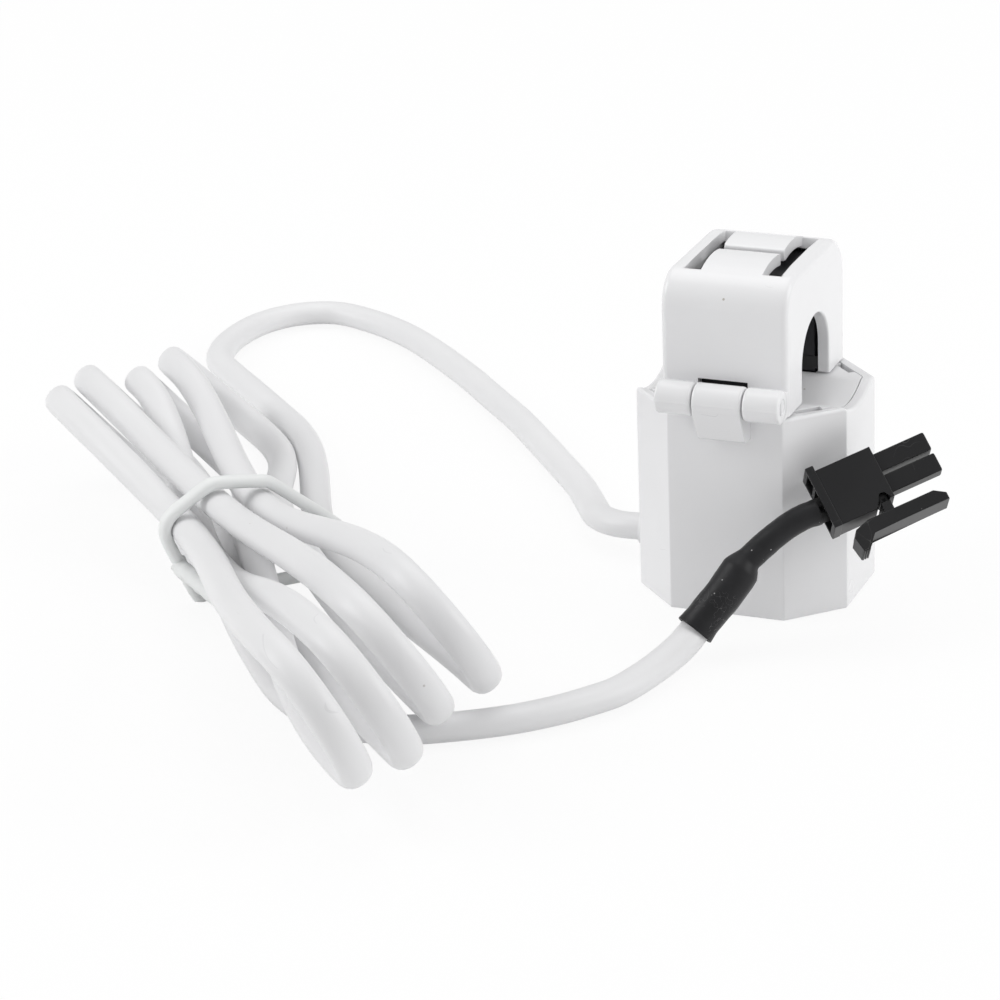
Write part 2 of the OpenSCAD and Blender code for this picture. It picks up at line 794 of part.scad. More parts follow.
// Snap tab on the rear, with a window over the catch
module snap_tab() {
  y1 = snap_y0 + snap_t;
  difference() {
    union() {
      block(-snap_w/2, snap_w/2, snap_y0, y1, snap_window_z - snap_bar, cover_z0 + snap_root_h);
      block(-snap_w/2, snap_w/2, cover_y1 - cover_wall/2, y1, cover_z0, cover_z0 + snap_root_h);
    }
    block(-catch_w/2 - snap_side, catch_w/2 + snap_side, snap_y0 - cut, y1 + cut,
          snap_window_z, catch_top + snap_play);
  }
}

module hinge_pin() {
  color("gainsboro")
    rod_x(hinge_x0 + pin_sink, hinge_x1 - pin_sink, hinge_y, hinge_z, pin_d/2);
}

// Upper half of the core, its corners rounded to lie inside the cover
module upper_core() {
  color("dimgray")
    intersection() {
      union() {
        core_legs(0, case_h + pole_gap, core_top);
        block(-core_w/2, core_w/2, leg_in_front - cut, leg_in_rear + cut, upper_yoke_z, core_top);
      }
      along_x(-core_w/2 - cut, core_w/2 + cut)
        cover_profile(cover_wall + front_room/2);
    }
}

// Collars round the feet of the upper core
module core_shoes() {
  z0 = case_h + pole_gap + shoe_lift;
  color("black")
    difference() {
      for (y = [leg_in_front - core_t, leg_in_rear])
        block(-cover_in + shoe_gap, cover_in - shoe_gap, y - front_room/2, y + core_t + front_room/2,
              z0, z0 + shoe_h);
      core_legs(tongue_touch, z0 - cut, z0 + shoe_h + cut);
    }
}

module lower_core() {
  color("dimgray")
    union() {
      core_legs(0, lower_yoke_z, case_h);
      block(-core_w/2, core_w/2, leg_in_front - cut, leg_in_rear + cut, lower_yoke_z, lower_yoke_top);
    }
}

module coil_bobbin() {
  color("ivory")
    difference() {
      union() {
        block(-spool_half, spool_half, coil_y0, coil_y1, spool_z0, spool_z1);
        for (y = [coil_y0, coil_y1 - bobbin_wall])
          block(-flange_half, flange_half, y, y + bobbin_wall, case_floor, board_z);
      }
      block(-tube_half, tube_half, coil_y0 - cut, coil_y1 + cut,
            lower_yoke_z - bobbin_gap, lower_yoke_top + bobbin_gap);
    }
}

// Square ring round the spool, between the flanges
module coil_ring(inside, outside) {
  y0 = coil_y0 + bobbin_wall + coil_fit;
  y1 = coil_y1 - bobbin_wall - coil_fit;
  difference() {
    block(-spool_half - outside, spool_half + outside, y0, y1, spool_z0 - outside, spool_z1 + outside);
    block(-spool_half - inside, spool_half + inside, y0 - cut, y1 + cut,
          spool_z0 - inside, spool_z1 + inside);
  }
}

module secondary_winding() {
  color("peru")
    coil_ring(coil_fit, coil_build);
}

module winding_tape() {
  color("khaki")
    coil_ring(coil_build + coil_fit, coil_build + coil_fit + tape_t);
}

module burden_board() {
  color("seagreen")
    block(-board_w/2, board_w/2, leg_in_front + board_clear, leg_in_rear - board_clear, board_z, board_top);
}

module burden_resistor() {
  color("steelblue")
    axial_part(conductor_y - part_y, resistor_d, resistor_l);
}

module suppressor() {
  color("dimgray")
    axial_part(conductor_y + part_y, suppressor_d, suppressor_l);
}

module inner_leads() {
  x0 = inner_lead_x - lead_bend;
  color("firebrick")
    for (y = [gland_y - inner_pitch/2, gland_y + inner_pitch/2])
      translate([0, y, 0])
        union() {
          translate([x0, 0, gland_z + lead_bend])
            rotate([90, 0, 0])
              rotate([0, 0, -90])
                rotate_extrude(angle = 90)
                  translate([lead_bend, 0])
                    circle(d = inner_lead_d);
          translate([inner_lead_x, 0, gland_z + lead_bend])
            cylinder(d = inner_lead_d, h = inner_lead_top - gland_z - 2*lead_bend);
          translate([inner_lead_x + lead_bend, 0, inner_lead_top - lead_bend])
            rotate([90, 0, 0])
              rotate([0, 0, 90])
                rotate_extrude(angle = 90)
                  translate([lead_bend, 0])
                    circle(d = inner_lead_d);
          rod_x(inner_lead_x + lead_bend, inner_lead_end, 0, inner_lead_top, inner_lead_d/2);
        }
}

// Collar outside, neck in the wall and a flange inside, trimmed to the case's cavity
module cable_gland() {
  inner = half_x - case_wall;
  color("whitesmoke")
    union() {
      intersection() {
        rod_x(-inner, -inner + gland_flange, gland_y, gland_z, gland_d/2);
        translate([0, 0, case_floor + lid_gap])
          linear_extrude(case_h)
            octagon(case_wall + lid_gap);
      }
      rod_x(-half_x - gland_l/2, -inner + gland_flange/2, gland_y, gland_z, neck_d/2);
      translate([-half_x, gland_y, gland_z])
        rotate([0, -90, 0])
          cylinder(d1 = gland_d, d2 = neck_d + lid_gap, h = gland_l);
    }
}

module lead_in() {
  color("white")
    free_lead(lead_in_points, exit_dir, hank_d);
}

module cable_hank() {
  color("white")
    sweep(hank_points, hank_sides, [for (p = hank_points) lead_w/2], [for (p = hank_points) lead_t/2],
          hank_d, hank_d, 6);
}

module lead_out() {
  color("white")
    free_lead(lead_out_points, hank_d, unit(rim_dir));
}

// Outline of the tie round the outer strands at the waist, drawn across the hank
module tie_outline(grow) {
  hull() {
    for (p = waist_places)
      translate(p)
        circle(r = lead_w/2 + tie_gap + grow, $fn = 32);
  }
}

module twist_tie() {
  count = (len(tail_points) - 1)*tail_steps;
  line = [for (i = [0:count]) tail_at(i/tail_steps)];
  color("snow")
    union() {
      translate([hank_at[0], hank_at[1], 0] + waist_s*hank_d)
        rotate([0, 0, hank_turn])
          translate([-tie_w/2, 0, 0])
            rotate([90, 0, 90])
              linear_extrude(tie_w)
                intersection() {
                  difference() {
                    tie_outline(tie_t);
                    tie_outline(0);
                  }
                  translate([-case_h, 0])
                    square([2*case_h, case_h]);
                }
      sweep(line, [for (i = [0:count]) tail_side(line, i)], [for (p = line) tie_w*tail_share],
            [for (p = line) tie_t*tail_share], run_dir(line, 0), run_dir(line, count), 8);
    }
}

// Point at a fractional place along the tie's tail
function tail_at(u) =
  let (i = min(floor(u), len(tail_points) - 2))
  tail_points[i] + (tail_points[i + 1] - tail_points[i])*(u - i);

// The tail's wide axis turns steadily, as two twisted strands do
function tail_side(line, i) =
  let (t = run_dir(line, i), a = unit(cross(up, t)), b = cross(t, a))
  cos(tail_turn*i)*a + sin(tail_turn*i)*b;

module heat_shrink() {
  last = len(shrink_points) - 1;
  radii = [for (i = [0:last]) (i < shrink_shoulder ? shrink_d : shrink_neck_d)/2];
  color("black")
    sweep(shrink_points, [for (i = [0:last]) cross(up, run_dir(shrink_points, i))], radii, radii,
          unit(rim_dir), connector_dir, 12);
}

module in_connector() {
  translate(connector_at)
    rotate(connector_turn)
      children();
}

module connector_wires() {
  color("black")
    in_connector()
      for (y = [wire_shift - wire_pitch/2, wire_shift + wire_pitch/2])
        rod_x(-wire_reach + wire_touch, flange_l, y, 0, wire_d/2);
}

module connector_housing() {
  pocket_half = latch_pivot_l/2 + latch_play;
  color("black")
    in_connector()
      difference() {
        union() {
          block(0, flange_l, -flange_h/2, flange_h/2, -flange_t/2, flange_t/2);
          block(flange_l/2, block_l, -block_h/2, block_h/2, -block_t/2, block_t/2);
          block(flange_l/2, rail_l, -flange_h/2, -block_h/2 + pivot_rise, -block_t/2, block_t/2);
          for (y = [-pin_pitch/2, pin_pitch/2])
            block(block_l - cut, prong_l, y - prong_w/2, y + prong_w/2, -prong_t/2, prong_t/2);
        }
        for (y = [-pin_pitch/2, pin_pitch/2])
          rod_x(flange_l, prong_l + cut, y, 0, cavity_d/2);
        for (y = [wire_shift - wire_pitch/2, wire_shift + wire_pitch/2])
          rod_x(-cut, flange_l + latch_play, y, 0, wire_d/2 + latch_play);
        translate([latch_pivot_x, pivot_y, -pocket_half])
          cylinder(d = latch_pivot_d + 2*latch_play, h = 2*pocket_half);
        block(latch_pivot_x - pivot_slot_w/2, latch_pivot_x + pivot_slot_w/2, -block_h/2 - cut, pivot_y,
              -pocket_half, pocket_half);
      }
}

// Lever with a thumb pad at one end and a bevelled tip at the other, rocking on its pivot
module connector_latch() {
  color("black")
    in_connector()
      union() {
        translate([0, 0, -latch_w/2])
          linear_extrude(latch_w)
            polygon([
              [arm_x, lever_in], [lever_end - bevel_l, lever_in], [lever_end, lever_in - bevel_h],
              [lever_end, lever_out], [arm_x, lever_out],
              [pad_x + pad_lean + pad_tip, lever_out - pad_drop], [pad_x + pad_lean, lever_out - pad_drop],
              [pad_x, lever_out + pad_lean], [pad_x + pad_nose, lever_in - pad_nose]
            ]);
        block(latch_pivot_x - post_w/2, latch_pivot_x + post_w/2, lever_in - latch_t/2,
              -block_h/2 - post_gap, -latch_w/2, latch_w/2);
        block(latch_pivot_x - pivot_neck_w/2, latch_pivot_x + pivot_neck_w/2, lever_in, pivot_y,
              -latch_pivot_l/2, latch_pivot_l/2);
        translate([latch_pivot_x, pivot_y, -latch_pivot_l/2])
          cylinder(d = latch_pivot_d, h = latch_pivot_l);
      }
}

module crimp_terminals() {
  color("goldenrod")
    in_connector()
      for (y = [-pin_pitch/2, pin_pitch/2])
        rod_x(flange_l + latch_play, prong_l - contact_short, y, 0, cavity_d/2 - latch_play);
}

body_case();
body_lid();
core_cover();
hinge_pin();
upper_core();
core_shoes();
lower_core();
coil_bobbin();
secondary_winding();
winding_tape();
burden_board();
burden_resistor();
suppressor();
inner_leads();
cable_gland();
lead_in();
cable_hank();
twist_tie();
lead_out();
heat_shrink();
connector_wires();
connector_housing();
connector_latch();
crimp_terminals();
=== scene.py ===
import itertools
import math

import bmesh
import bpy
from mathutils import Matrix, Vector, noise


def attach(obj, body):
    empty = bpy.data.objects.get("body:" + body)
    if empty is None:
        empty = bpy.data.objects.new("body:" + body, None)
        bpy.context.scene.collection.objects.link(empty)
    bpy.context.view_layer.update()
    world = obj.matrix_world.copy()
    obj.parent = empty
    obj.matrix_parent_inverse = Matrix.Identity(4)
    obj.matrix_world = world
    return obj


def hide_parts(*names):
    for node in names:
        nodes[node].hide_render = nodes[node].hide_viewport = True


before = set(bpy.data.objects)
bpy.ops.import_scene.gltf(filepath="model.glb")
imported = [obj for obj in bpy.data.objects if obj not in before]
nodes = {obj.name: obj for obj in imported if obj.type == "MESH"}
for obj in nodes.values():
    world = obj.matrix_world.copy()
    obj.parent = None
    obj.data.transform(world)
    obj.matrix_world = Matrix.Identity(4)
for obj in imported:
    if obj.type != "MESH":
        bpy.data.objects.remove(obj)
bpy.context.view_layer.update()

scene = bpy.context.scene
scene.view_settings.view_transform = "Standard"

# Shapes are written in millimetres in the part's own frame and turned to metres when a piece is made.
MM = 0.001
UP = Vector((0, 0, 1))


def ease(u):
    """Share from 0 to 1 that starts and ends level."""
    return u * u * (3 - 2 * u)


# Camera at the photo's viewing angle, with a long lens

def place_camera():
    """Camera fitted to points of the object in the photo."""
    turn, rise, roll = math.radians(22.445), math.radians(21.771), math.radians(-2.14)
    back = Vector((math.sin(turn) * math.cos(rise), -math.cos(turn) * math.cos(rise), math.sin(rise)))
    right = UP.cross(back).normalized()
    up = back.cross(right)
    across = math.cos(roll) * right + math.sin(roll) * up
    upright = math.cos(roll) * up - math.sin(roll) * right
    lens = bpy.data.cameras.new("camera")
    lens.sensor_width = 36
    lens.lens = 144
    lens.clip_start = 0.02
    camera = bpy.data.objects.new("camera", lens)
    camera.matrix_world = Matrix((across, upright, back)).transposed().to_4x4()
    camera.location = (0.15235, -0.45569, 0.20372)
    scene.collection.objects.link(camera)
    scene.camera = camera


place_camera()


# Route of the lead, the same as the solids'

LEAD_W = 4.2
LEAD_T = 3.4
LEAD_REST = 1.9
GLAND_END = Vector((-17, 3.2, 4))
HANK_AT = Vector((-53, -29.5, 0))
HANK_DIR = Vector((math.cos(math.radians(-44.5)), math.sin(math.radians(-44.5)), 0))
HANK_ACROSS = Vector((-HANK_DIR.y, HANK_DIR.x, 0))
FOLD_R = 9
WAIST_AT = -11
STATION_STEP = 1.3
HALF_RUN_STATIONS = 40
FOLD_STATIONS = 24
IN_SLEEVE = 1.6
# Folds in the order in which the lead passes: along the hank, across it, height of the lower run, lean
NEAR_FOLDS = [(39, 8.75, 6, 58), (44.5, 0.25, 6, 58), (54, -7.85, 6, 62), (56, -15, 6, 64)]
FAR_FOLDS = [(-58.5, 18.3, LEAD_REST, 46), (-55, 3.9, LEAD_REST, 50), (-51, 10, LEAD_REST, 50),
             (-49, -2.2, LEAD_REST, 50)]
HANK_START = Vector((-62, 23.3, LEAD_REST))
# Places of the runs at the tie, across and up, in the order in which the lead passes
WAIST_PLACES = [(9.6, 3.9), (0.2, 11.9), (3.3, 8.7), (-5.6, 12.8), (-2.1, 2.5),
                (-7.1, 6), (-1.5, 7), (-10, 10.3), (-6.5, 2)]
LOOPS = len(NEAR_FOLDS)

SLEEVE_RIM = (0.3, -25.8, 3.5)
LEAD_IN = [GLAND_END, (-20.5, 3.6, 3.8), (-24.2, 6.5, 3.2), (-27.4, 11.8, 2.5), (-31.5, 18.5, 2.1)]
LEAD_IN += [(x, y, LEAD_REST) for x, y in (
    (-38, 27), (-49, 40.5), (-56, 48), (-63, 55.5), (-73.5, 65.5), (-80.5, 71), (-88, 75), (-94, 76.5),
    (-99.5, 74), (-102.9, 68.8), (-104, 62), (-103.4, 56), (-101.4, 51), (-97.4, 46.7), (-92.3, 41.8))]
LEAD_OUT = [(x, y, LEAD_REST) for x, y in (
    (-55.4, -39.1), (-49.3, -47.1), (-43, -54.6), (-36.8, -59.4), (-30.5, -61.4), (-24.1, -60.4),
    (-18.5, -57.6), (-13.2, -54), (-9.2, -50.2), (-6.2, -46.4), (-3.8, -42.5))]
LEAD_OUT += [(-2, -36.5, 2), (-1, -31, 2.1), (-0.4, -28, 2.5), SLEEVE_RIM]
SLEEVE_RIM_DIR = Vector((0.45, 0.6, 0.66))


def fold_place(fold, way, bend):
    """Along, across and up on a fold; the bend is 0 at its lower run and half a turn at its upper run."""
    along, across, low, lean = fold
    lean = math.radians(lean)
    q = FOLD_R * (1 - math.cos(bend))
    return Vector((along + way * FOLD_R * math.sin(bend), across - q * math.cos(lean),
                   low + q * math.sin(lean)))


def run_ends(run):
    """Far and near ends of a run; lower runs are even and upper runs odd."""
    loop = run // 2
    near = fold_place(NEAR_FOLDS[min(loop, LOOPS - 1)], 1, math.pi * (run % 2))
    if run % 2:
        return fold_place(FAR_FOLDS[loop], -1, math.pi), near
    return fold_place(FAR_FOLDS[loop - 1], -1, 0) if loop else HANK_START, near


def run_place(run, near, u):
    """Place on a run between its far or near end, where u is 0, and the tie, where u is 1."""
    far_end, near_end = run_ends(run)
    start = near_end if near else far_end
    across, high = WAIST_PLACES[run]
    stop = Vector((WAIST_AT, across, high))
    slope = (near_end - far_end) / (near_end.x - far_end.x) if run < 2 * LOOPS else Vector((1, 0, 0))
    reach = stop.x - start.x
    place = start + (stop - start) * ease(u) + slope * (u * u * (u - 1) * reach)
    place.x = start.x + reach * u
    return place


def hank_stations():
    """Centres and wide axes of the cable through the hank."""
    centres, sides = [], []

    def add_station(place, tilt):
        tilt = math.radians(tilt)
        centres.append(HANK_AT + place.x * HANK_DIR + place.y * HANK_ACROSS + place.z * UP)
        sides.append(math.cos(tilt) * HANK_ACROSS + math.sin(tilt) * UP)

    def half_run(run, near, lean, shares):
        for u in shares:
            add_station(run_place(run, near, u), (90 - lean) * (1 - ease(u)))

    to_tie = [k / HALF_RUN_STATIONS for k in range(HALF_RUN_STATIONS)]
    from_tie = [1 - u for u in to_tie]
    bends = [math.pi * k / FOLD_STATIONS for k in range(FOLD_STATIONS)]
    for loop in range(LOOPS + 1):
        half_run(2 * loop, False, FAR_FOLDS[loop - 1][3] if loop else 90, to_tie)
        if loop == LOOPS:
            break
        near_lean, far_lean = NEAR_FOLDS[loop][3], FAR_FOLDS[loop][3]
        half_run(2 * loop, True, near_lean, from_tie)
        for bend in bends:
            add_station(fold_place(NEAR_FOLDS[loop], 1, bend), 90 - near_lean)
        half_run(2 * loop + 1, True, near_lean, to_tie)
        half_run(2 * loop + 1, False, far_lean, from_tie)
        for bend in bends:
            add_station(fold_place(FAR_FOLDS[loop], -1, math.pi - bend), 90 - far_lean)
    add_station(run_place(2 * LOOPS, False, 1), 0)
    return centres, sides


def curve_through(points, first_dir, last_dir, step):
    """Smooth curve through points, with given end directions, as points about a step apart."""
    points = [Vector(p) for p in points]
    lengths = [(b - a).length for a, b in zip(points, points[1:])]
    slopes = [first_dir.normalized()]
    for i in range(1, len(points) - 1):
        slopes.append((points[i + 1] - points[i - 1]) / (lengths[i - 1] + lengths[i]))
    slopes.append(last_dir.normalized())
    line = []
    for i, length in enumerate(lengths):
        count = max(2, math.ceil(length / step))
        for k in range(count):
            t = k / count
            line.append(
                points[i] * (2 * t ** 3 - 3 * t ** 2 + 1) + slopes[i] * length * (t ** 3 - 2 * t ** 2 + t)
                + points[i + 1] * (3 * t ** 2 - 2 * t ** 3) + slopes[i + 1] * length * (t ** 3 - t ** 2))
    line.append(points[-1])
    return line


def headings(line):
    """Direction of travel at each point of a line."""
    ways = []
    for i in range(len(line)):
        ways.append((line[min(i + 1, len(line) - 1)] - line[max(i - 1, 0)]).normalized())
    return ways


def level_sides(line):
    """Wide axis of a flat cable that lies level."""
    return [UP.cross(way).normalized() for way in headings(line)]


def lead_line():
    """Centres and wide axes of the whole lead, from the case to inside the sleeve."""
    hank, hank_sides = hank_stations()
    into_hank = [hank[0] - LEAD_W * HANK_DIR, hank[0]]
    from_hank = [hank[-1], hank[-1] + LEAD_W * HANK_DIR]
    way_in = curve_through(LEAD_IN + into_hank, Vector((-1, 0, 0)), HANK_DIR, STATION_STEP)
    way_out = curve_through(from_hank + LEAD_OUT, HANK_DIR, SLEEVE_RIM_DIR, STATION_STEP)
    way_out.append(way_out[-1] + IN_SLEEVE * SLEEVE_RIM_DIR.normalized())
    return (way_in[:-1] + hank[:-1] + way_out,
            level_sides(way_in)[:-1] + hank_sides[:-1] + level_sides(way_out))


# Building helpers

SAME_SPOT = 1e-6
SHARP_FOLD = math.radians(38)


def add_ring(bm, points):
    """Corners of a mesh, from places in millimetres."""
    return [bm.verts.new(p * MM) for p in points]


def join_rings(bm, a, b):
    """Band of faces between two closed rings."""
    count = len(a)
    for i in range(count):
        k = (i + 1) % count
        bm.faces.new((a[i], a[k], b[k], b[i]))


def join_all(bm, rings):
    """Skin over a row of rings, closed at both ends."""
    for a, b in zip(rings, rings[1:]):
        join_rings(bm, a, b)
    bm.faces.new(rings[0])
    bm.faces.new(rings[-1])


def side_ring(bm, x, outline):
    """Ring from a side outline of (y, z) pairs, at a place across."""
    return add_ring(bm, [Vector((x, y, z)) for y, z in outline])


def cross_axes(way, side):
    """Wide axis and lift, both square to the direction of travel."""
    side = (side - way * side.dot(way)).normalized()
    return side, way.cross(side)


def sweep(bm, centres, sides, outline):
    """Draw an outline of (across, lift) pairs along a line."""
    rings = []
    for centre, way, side in zip(centres, headings(centres), sides):
        side, lift = cross_axes(way, side)
        rings.append(add_ring(bm, [centre + a * side + b * lift for a, b in outline]))
    join_all(bm, rings)


def oval(half_w, half_t, count, square):
    """Points of an oval; square above 2 makes its sides flatter."""
    points = []
    for k in range(count):
        a = 2 * math.pi * k / count
        c, s = math.cos(a), math.sin(a)
        reach = (abs(c) ** square + abs(s) ** square) ** (-1 / square)
        points.append((half_w * c * reach, half_t * s * reach))
    return points


def settle(name, bm, body, slot, finish, *stands_for):
    """Make a piece of a finished mesh, riding a body, with the given finish; the slot is not used."""
    bmesh.ops.remove_doubles(bm, verts=bm.verts, dist=SAME_SPOT)
    bmesh.ops.recalc_face_normals(bm, faces=bm.faces)
    for face in bm.faces:
        face.smooth = True
    for edge in bm.edges:
        edge.smooth = edge.calc_face_angle(0) < SHARP_FOLD
    mesh = bpy.data.meshes.new(name)
    bm.to_mesh(mesh)
    bm.free()
    mesh.materials.append(finish)
    piece = bpy.data.objects.new(name, mesh)
    scene.collection.objects.link(piece)
    even = piece.modifiers.new("even_shading", "WEIGHTED_NORMAL")
    even.keep_sharp = True
    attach(piece, body)
    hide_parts(*stands_for)
    return piece


def round_edges(bm, edges, width, segments=3):
    """Round the chosen edges of a mesh."""
    bmesh.ops.bevel(bm, geom=edges, offset=width * MM, offset_type="OFFSET", segments=segments, profile=0.5,
                    affect="EDGES", clamp_overlap=False)


def take_in(bm, other):
    """Add the faces of another mesh under construction."""
    mesh = bpy.data.meshes.new("spare")
    other.to_mesh(mesh)
    other.free()
    bm.from_mesh(mesh)
    bpy.data.meshes.remove(mesh)


def add_block(bm, low, high, edge):
    """Block with rounded edges."""
    part = bmesh.new()
    corners = add_ring(part, [Vector(place) for place in itertools.product(*zip(low, high))])
    for ids in ((0, 1, 3, 2), (4, 6, 7, 5), (0, 4, 5, 1), (2, 3, 7, 6), (0, 2, 6, 4), (1, 5, 7, 3)):
        part.faces.new([corners[i] for i in ids])
    round_edges(part, list(part.edges), edge)
    take_in(bm, part)


def add_prism(bm, outline, x0, x1, edge):
    """Outline drawn in the side plane and carried across, its rims rounded."""
    part = bmesh.new()
    ends = [side_ring(part, x, outline) for x in (x0, x1)]
    caps = [part.faces.new(ends[0]), part.faces.new(ends[1])]
    join_rings(part, ends[0], ends[1])
    rims = [e for cap in caps for e in cap.edges]
    round_edges(part, rims, edge)
    take_in(bm, part)


# Surface effects shared by several finishes

def effect(name, inputs, outputs):
    """Group of shader nodes, empty but for its inputs and outputs."""
    group = bpy.data.node_groups.new(name, "ShaderNodeTree")
    for way, labels in (("INPUT", inputs), ("OUTPUT", outputs)):
        for label in labels:
            group.interface.new_socket(label, in_out=way, socket_type="NodeSocketFloat")
    return group, group.nodes.new("NodeGroupInput"), group.nodes.new("NodeGroupOutput")


def add(tree, kind, values=None, **settings):
    """New node with its settings and the values of its inputs."""
    node = tree.nodes.new(kind)
    for key, value in settings.items():
        setattr(node, key, value)
    for label, value in (values or {}).items():
        node.inputs[label].default_value = value
    return node


def wire(tree, *links):
    """Link nodes, each link given as (from, its output, to, its input)."""
    for source, output, target, taken in links:
        tree.links.new(source.outputs[output], target.inputs[taken])


def moulded_skin():
    """Fine moulding grain and slow clouding of a plastic skin."""
    group, given, out = effect("moulded_skin", ["Grain", "Cloud"], ["Height", "Clouding"])
    place = add(group, "ShaderNodeTexCoord")
    grain = add(group, "ShaderNodeTexNoise", {"Detail": 3})
    cloud = add(group, "ShaderNodeTexNoise", {"Detail": 2})
    wire(group, (place, "Object", grain, "Vector"), (place, "Object", cloud, "Vector"),
         (given, "Grain", grain, "Scale"), (given, "Cloud", cloud, "Scale"),
         (grain, "Fac", out, "Height"), (cloud, "Fac", out, "Clouding"))
    return group


def hair_scuffs():
    """Sparse hair-thin scuffs, as handling leaves on plastic."""
    group, given, out = effect("hair_scuffs", ["Scale", "Width", "Cover"], ["Mask"])
    place = add(group, "ShaderNodeTexCoord")
    wander = add(group, "ShaderNodeTexNoise", {"Detail": 0})
    away = add(group, "ShaderNodeMath", {1: 0.5}, operation="SUBTRACT")
    near = add(group, "ShaderNodeMath", operation="ABSOLUTE")
    thin = add(group, "ShaderNodeMath", operation="LESS_THAN")
    patch = add(group, "ShaderNodeTexNoise", {"Scale": 150, "Detail": 1})
    kept = add(group, "ShaderNodeMath", operation="GREATER_THAN")
    both = add(group, "ShaderNodeMath", operation="MULTIPLY")
    wire(group, (place, "Object", wander, "Vector"), (given, "Scale", wander, "Scale"),
         (wander, "Fac", away, 0), (away, "Value", near, 0), (near, "Value", thin, 0),
         (given, "Width", thin, 1), (place, "Object", patch, "Vector"), (patch, "Fac", kept, 0),
         (given, "Cover", kept, 1), (thin, "Value", both, 0), (kept, "Value", both, 1),
         (both, "Value", out, "Mask"))
    return group


def dust_specks():
    """Small scattered specks of dust and moulding dirt."""
    group, given, out = effect("dust_specks", ["Scale", "Size", "Cover"], ["Mask"])
    place = add(group, "ShaderNodeTexCoord")
    cells = add(group, "ShaderNodeTexVoronoi")
    dot = add(group, "ShaderNodeMath", operation="LESS_THAN")
    parts = add(group, "ShaderNodeSeparateColor")
    kept = add(group, "ShaderNodeMath", operation="GREATER_THAN")
    both = add(group, "ShaderNodeMath", operation="MULTIPLY")
    wire(group, (place, "Object", cells, "Vector"), (given, "Scale", cells, "Scale"),
         (cells, "Distance", dot, 0), (given, "Size", dot, 1),
         (cells, "Color", parts, "Color"), (parts, "Red", kept, 0), (given, "Cover", kept, 1),
         (dot, "Value", both, 0), (kept, "Value", both, 1), (both, "Value", out, "Mask"))
    return group


SKIN = moulded_skin()
SCUFFS = hair_scuffs()
SPECKS = dust_specks()


# Finishes, one for each slot

def put_effect(tree, group, **values):
    """Use an effect in a material."""
    return add(tree, "ShaderNodeGroup", values, node_tree=group)


def tint(tree, factor, under, over, amount=1.0):
    """Mix a colour over what lies under, by a mask; under is a colour or an output socket."""
    share = add(tree, "ShaderNodeMath", {1: amount}, operation="MULTIPLY")
    tree.links.new(factor, share.inputs[0])
    mix = add(tree, "ShaderNodeMix", data_type="RGBA")
    tree.links.new(share.outputs["Value"], mix.inputs["Factor"])
    if isinstance(under, tuple):
        mix.inputs["A"].default_value = (*under, 1)
    else:
        tree.links.new(under, mix.inputs["A"])
    mix.inputs["B"].default_value = (*over, 1)
    return mix.outputs["Result"]


def spread(tree, source, low, high):
    """Stretch a value that runs from 0 to 1 over a range."""
    span = add(tree, "ShaderNodeMapRange", {"To Min": low, "To Max": high})
    tree.links.new(source, span.inputs["Value"])
    return span.outputs["Result"]


def relief(tree, shader, height, strength, depth):
    """Fine bumps on a surface, their depth in millimetres."""
    bump = add(tree, "ShaderNodeBump", {"Strength": strength, "Distance": depth * MM})
    tree.links.new(height, bump.inputs["Height"])
    tree.links.new(bump.outputs["Normal"], shader.inputs["Normal"])


def plastic_finish(name, colour, shade, rough, specular=0.5, grain=2500.0, cloud=90.0, depth=0.01,
                   strength=0.25, scuff=None, scuff_share=0.5, scale=120.0, width=0.004, cover=0.62,
                   speck=None, speck_share=0.6, speck_scale=500.0, speck_size=0.1, speck_cover=0.75):
    """Moulded or extruded plastic: clouded colour, hair scuffs, specks and fine grain."""
    finish = bpy.data.materials.new(name)
    finish.use_nodes = True
    tree = finish.node_tree
    shader = tree.nodes["Principled BSDF"]
    shader.inputs["Roughness"].default_value = sum(rough) / 2
    shader.inputs["Specular IOR Level"].default_value = specular
    skin = put_effect(tree, SKIN, Grain=grain, Cloud=cloud)
    base = tint(tree, skin.outputs["Clouding"], colour, shade)
    if scuff:
        marks = put_effect(tree, SCUFFS, Scale=scale, Width=width, Cover=cover)
        base = tint(tree, marks.outputs["Mask"], base, scuff, scuff_share)
    if speck:
        dirt = put_effect(tree, SPECKS, Scale=speck_scale, Size=speck_size, Cover=speck_cover)
        base = tint(tree, dirt.outputs["Mask"], base, speck, speck_share)
    tree.links.new(base, shader.inputs["Base Color"])
    tree.links.new(spread(tree, skin.outputs["Clouding"], *rough), shader.inputs["Roughness"])
    relief(tree, shader, skin.outputs["Height"], strength, depth)
    return finish


def metal_finish(name, colour, shade, rough):
    """Drawn or plated metal, built like a plastic, with slow tarnish and fine drawing marks."""
    finish = plastic_finish(name, colour, shade, rough, grain=1800.0, cloud=260.0, depth=0.006, strength=0.3)
    finish.node_tree.nodes["Principled BSDF"].inputs["Metallic"].default_value = 1
    return finish


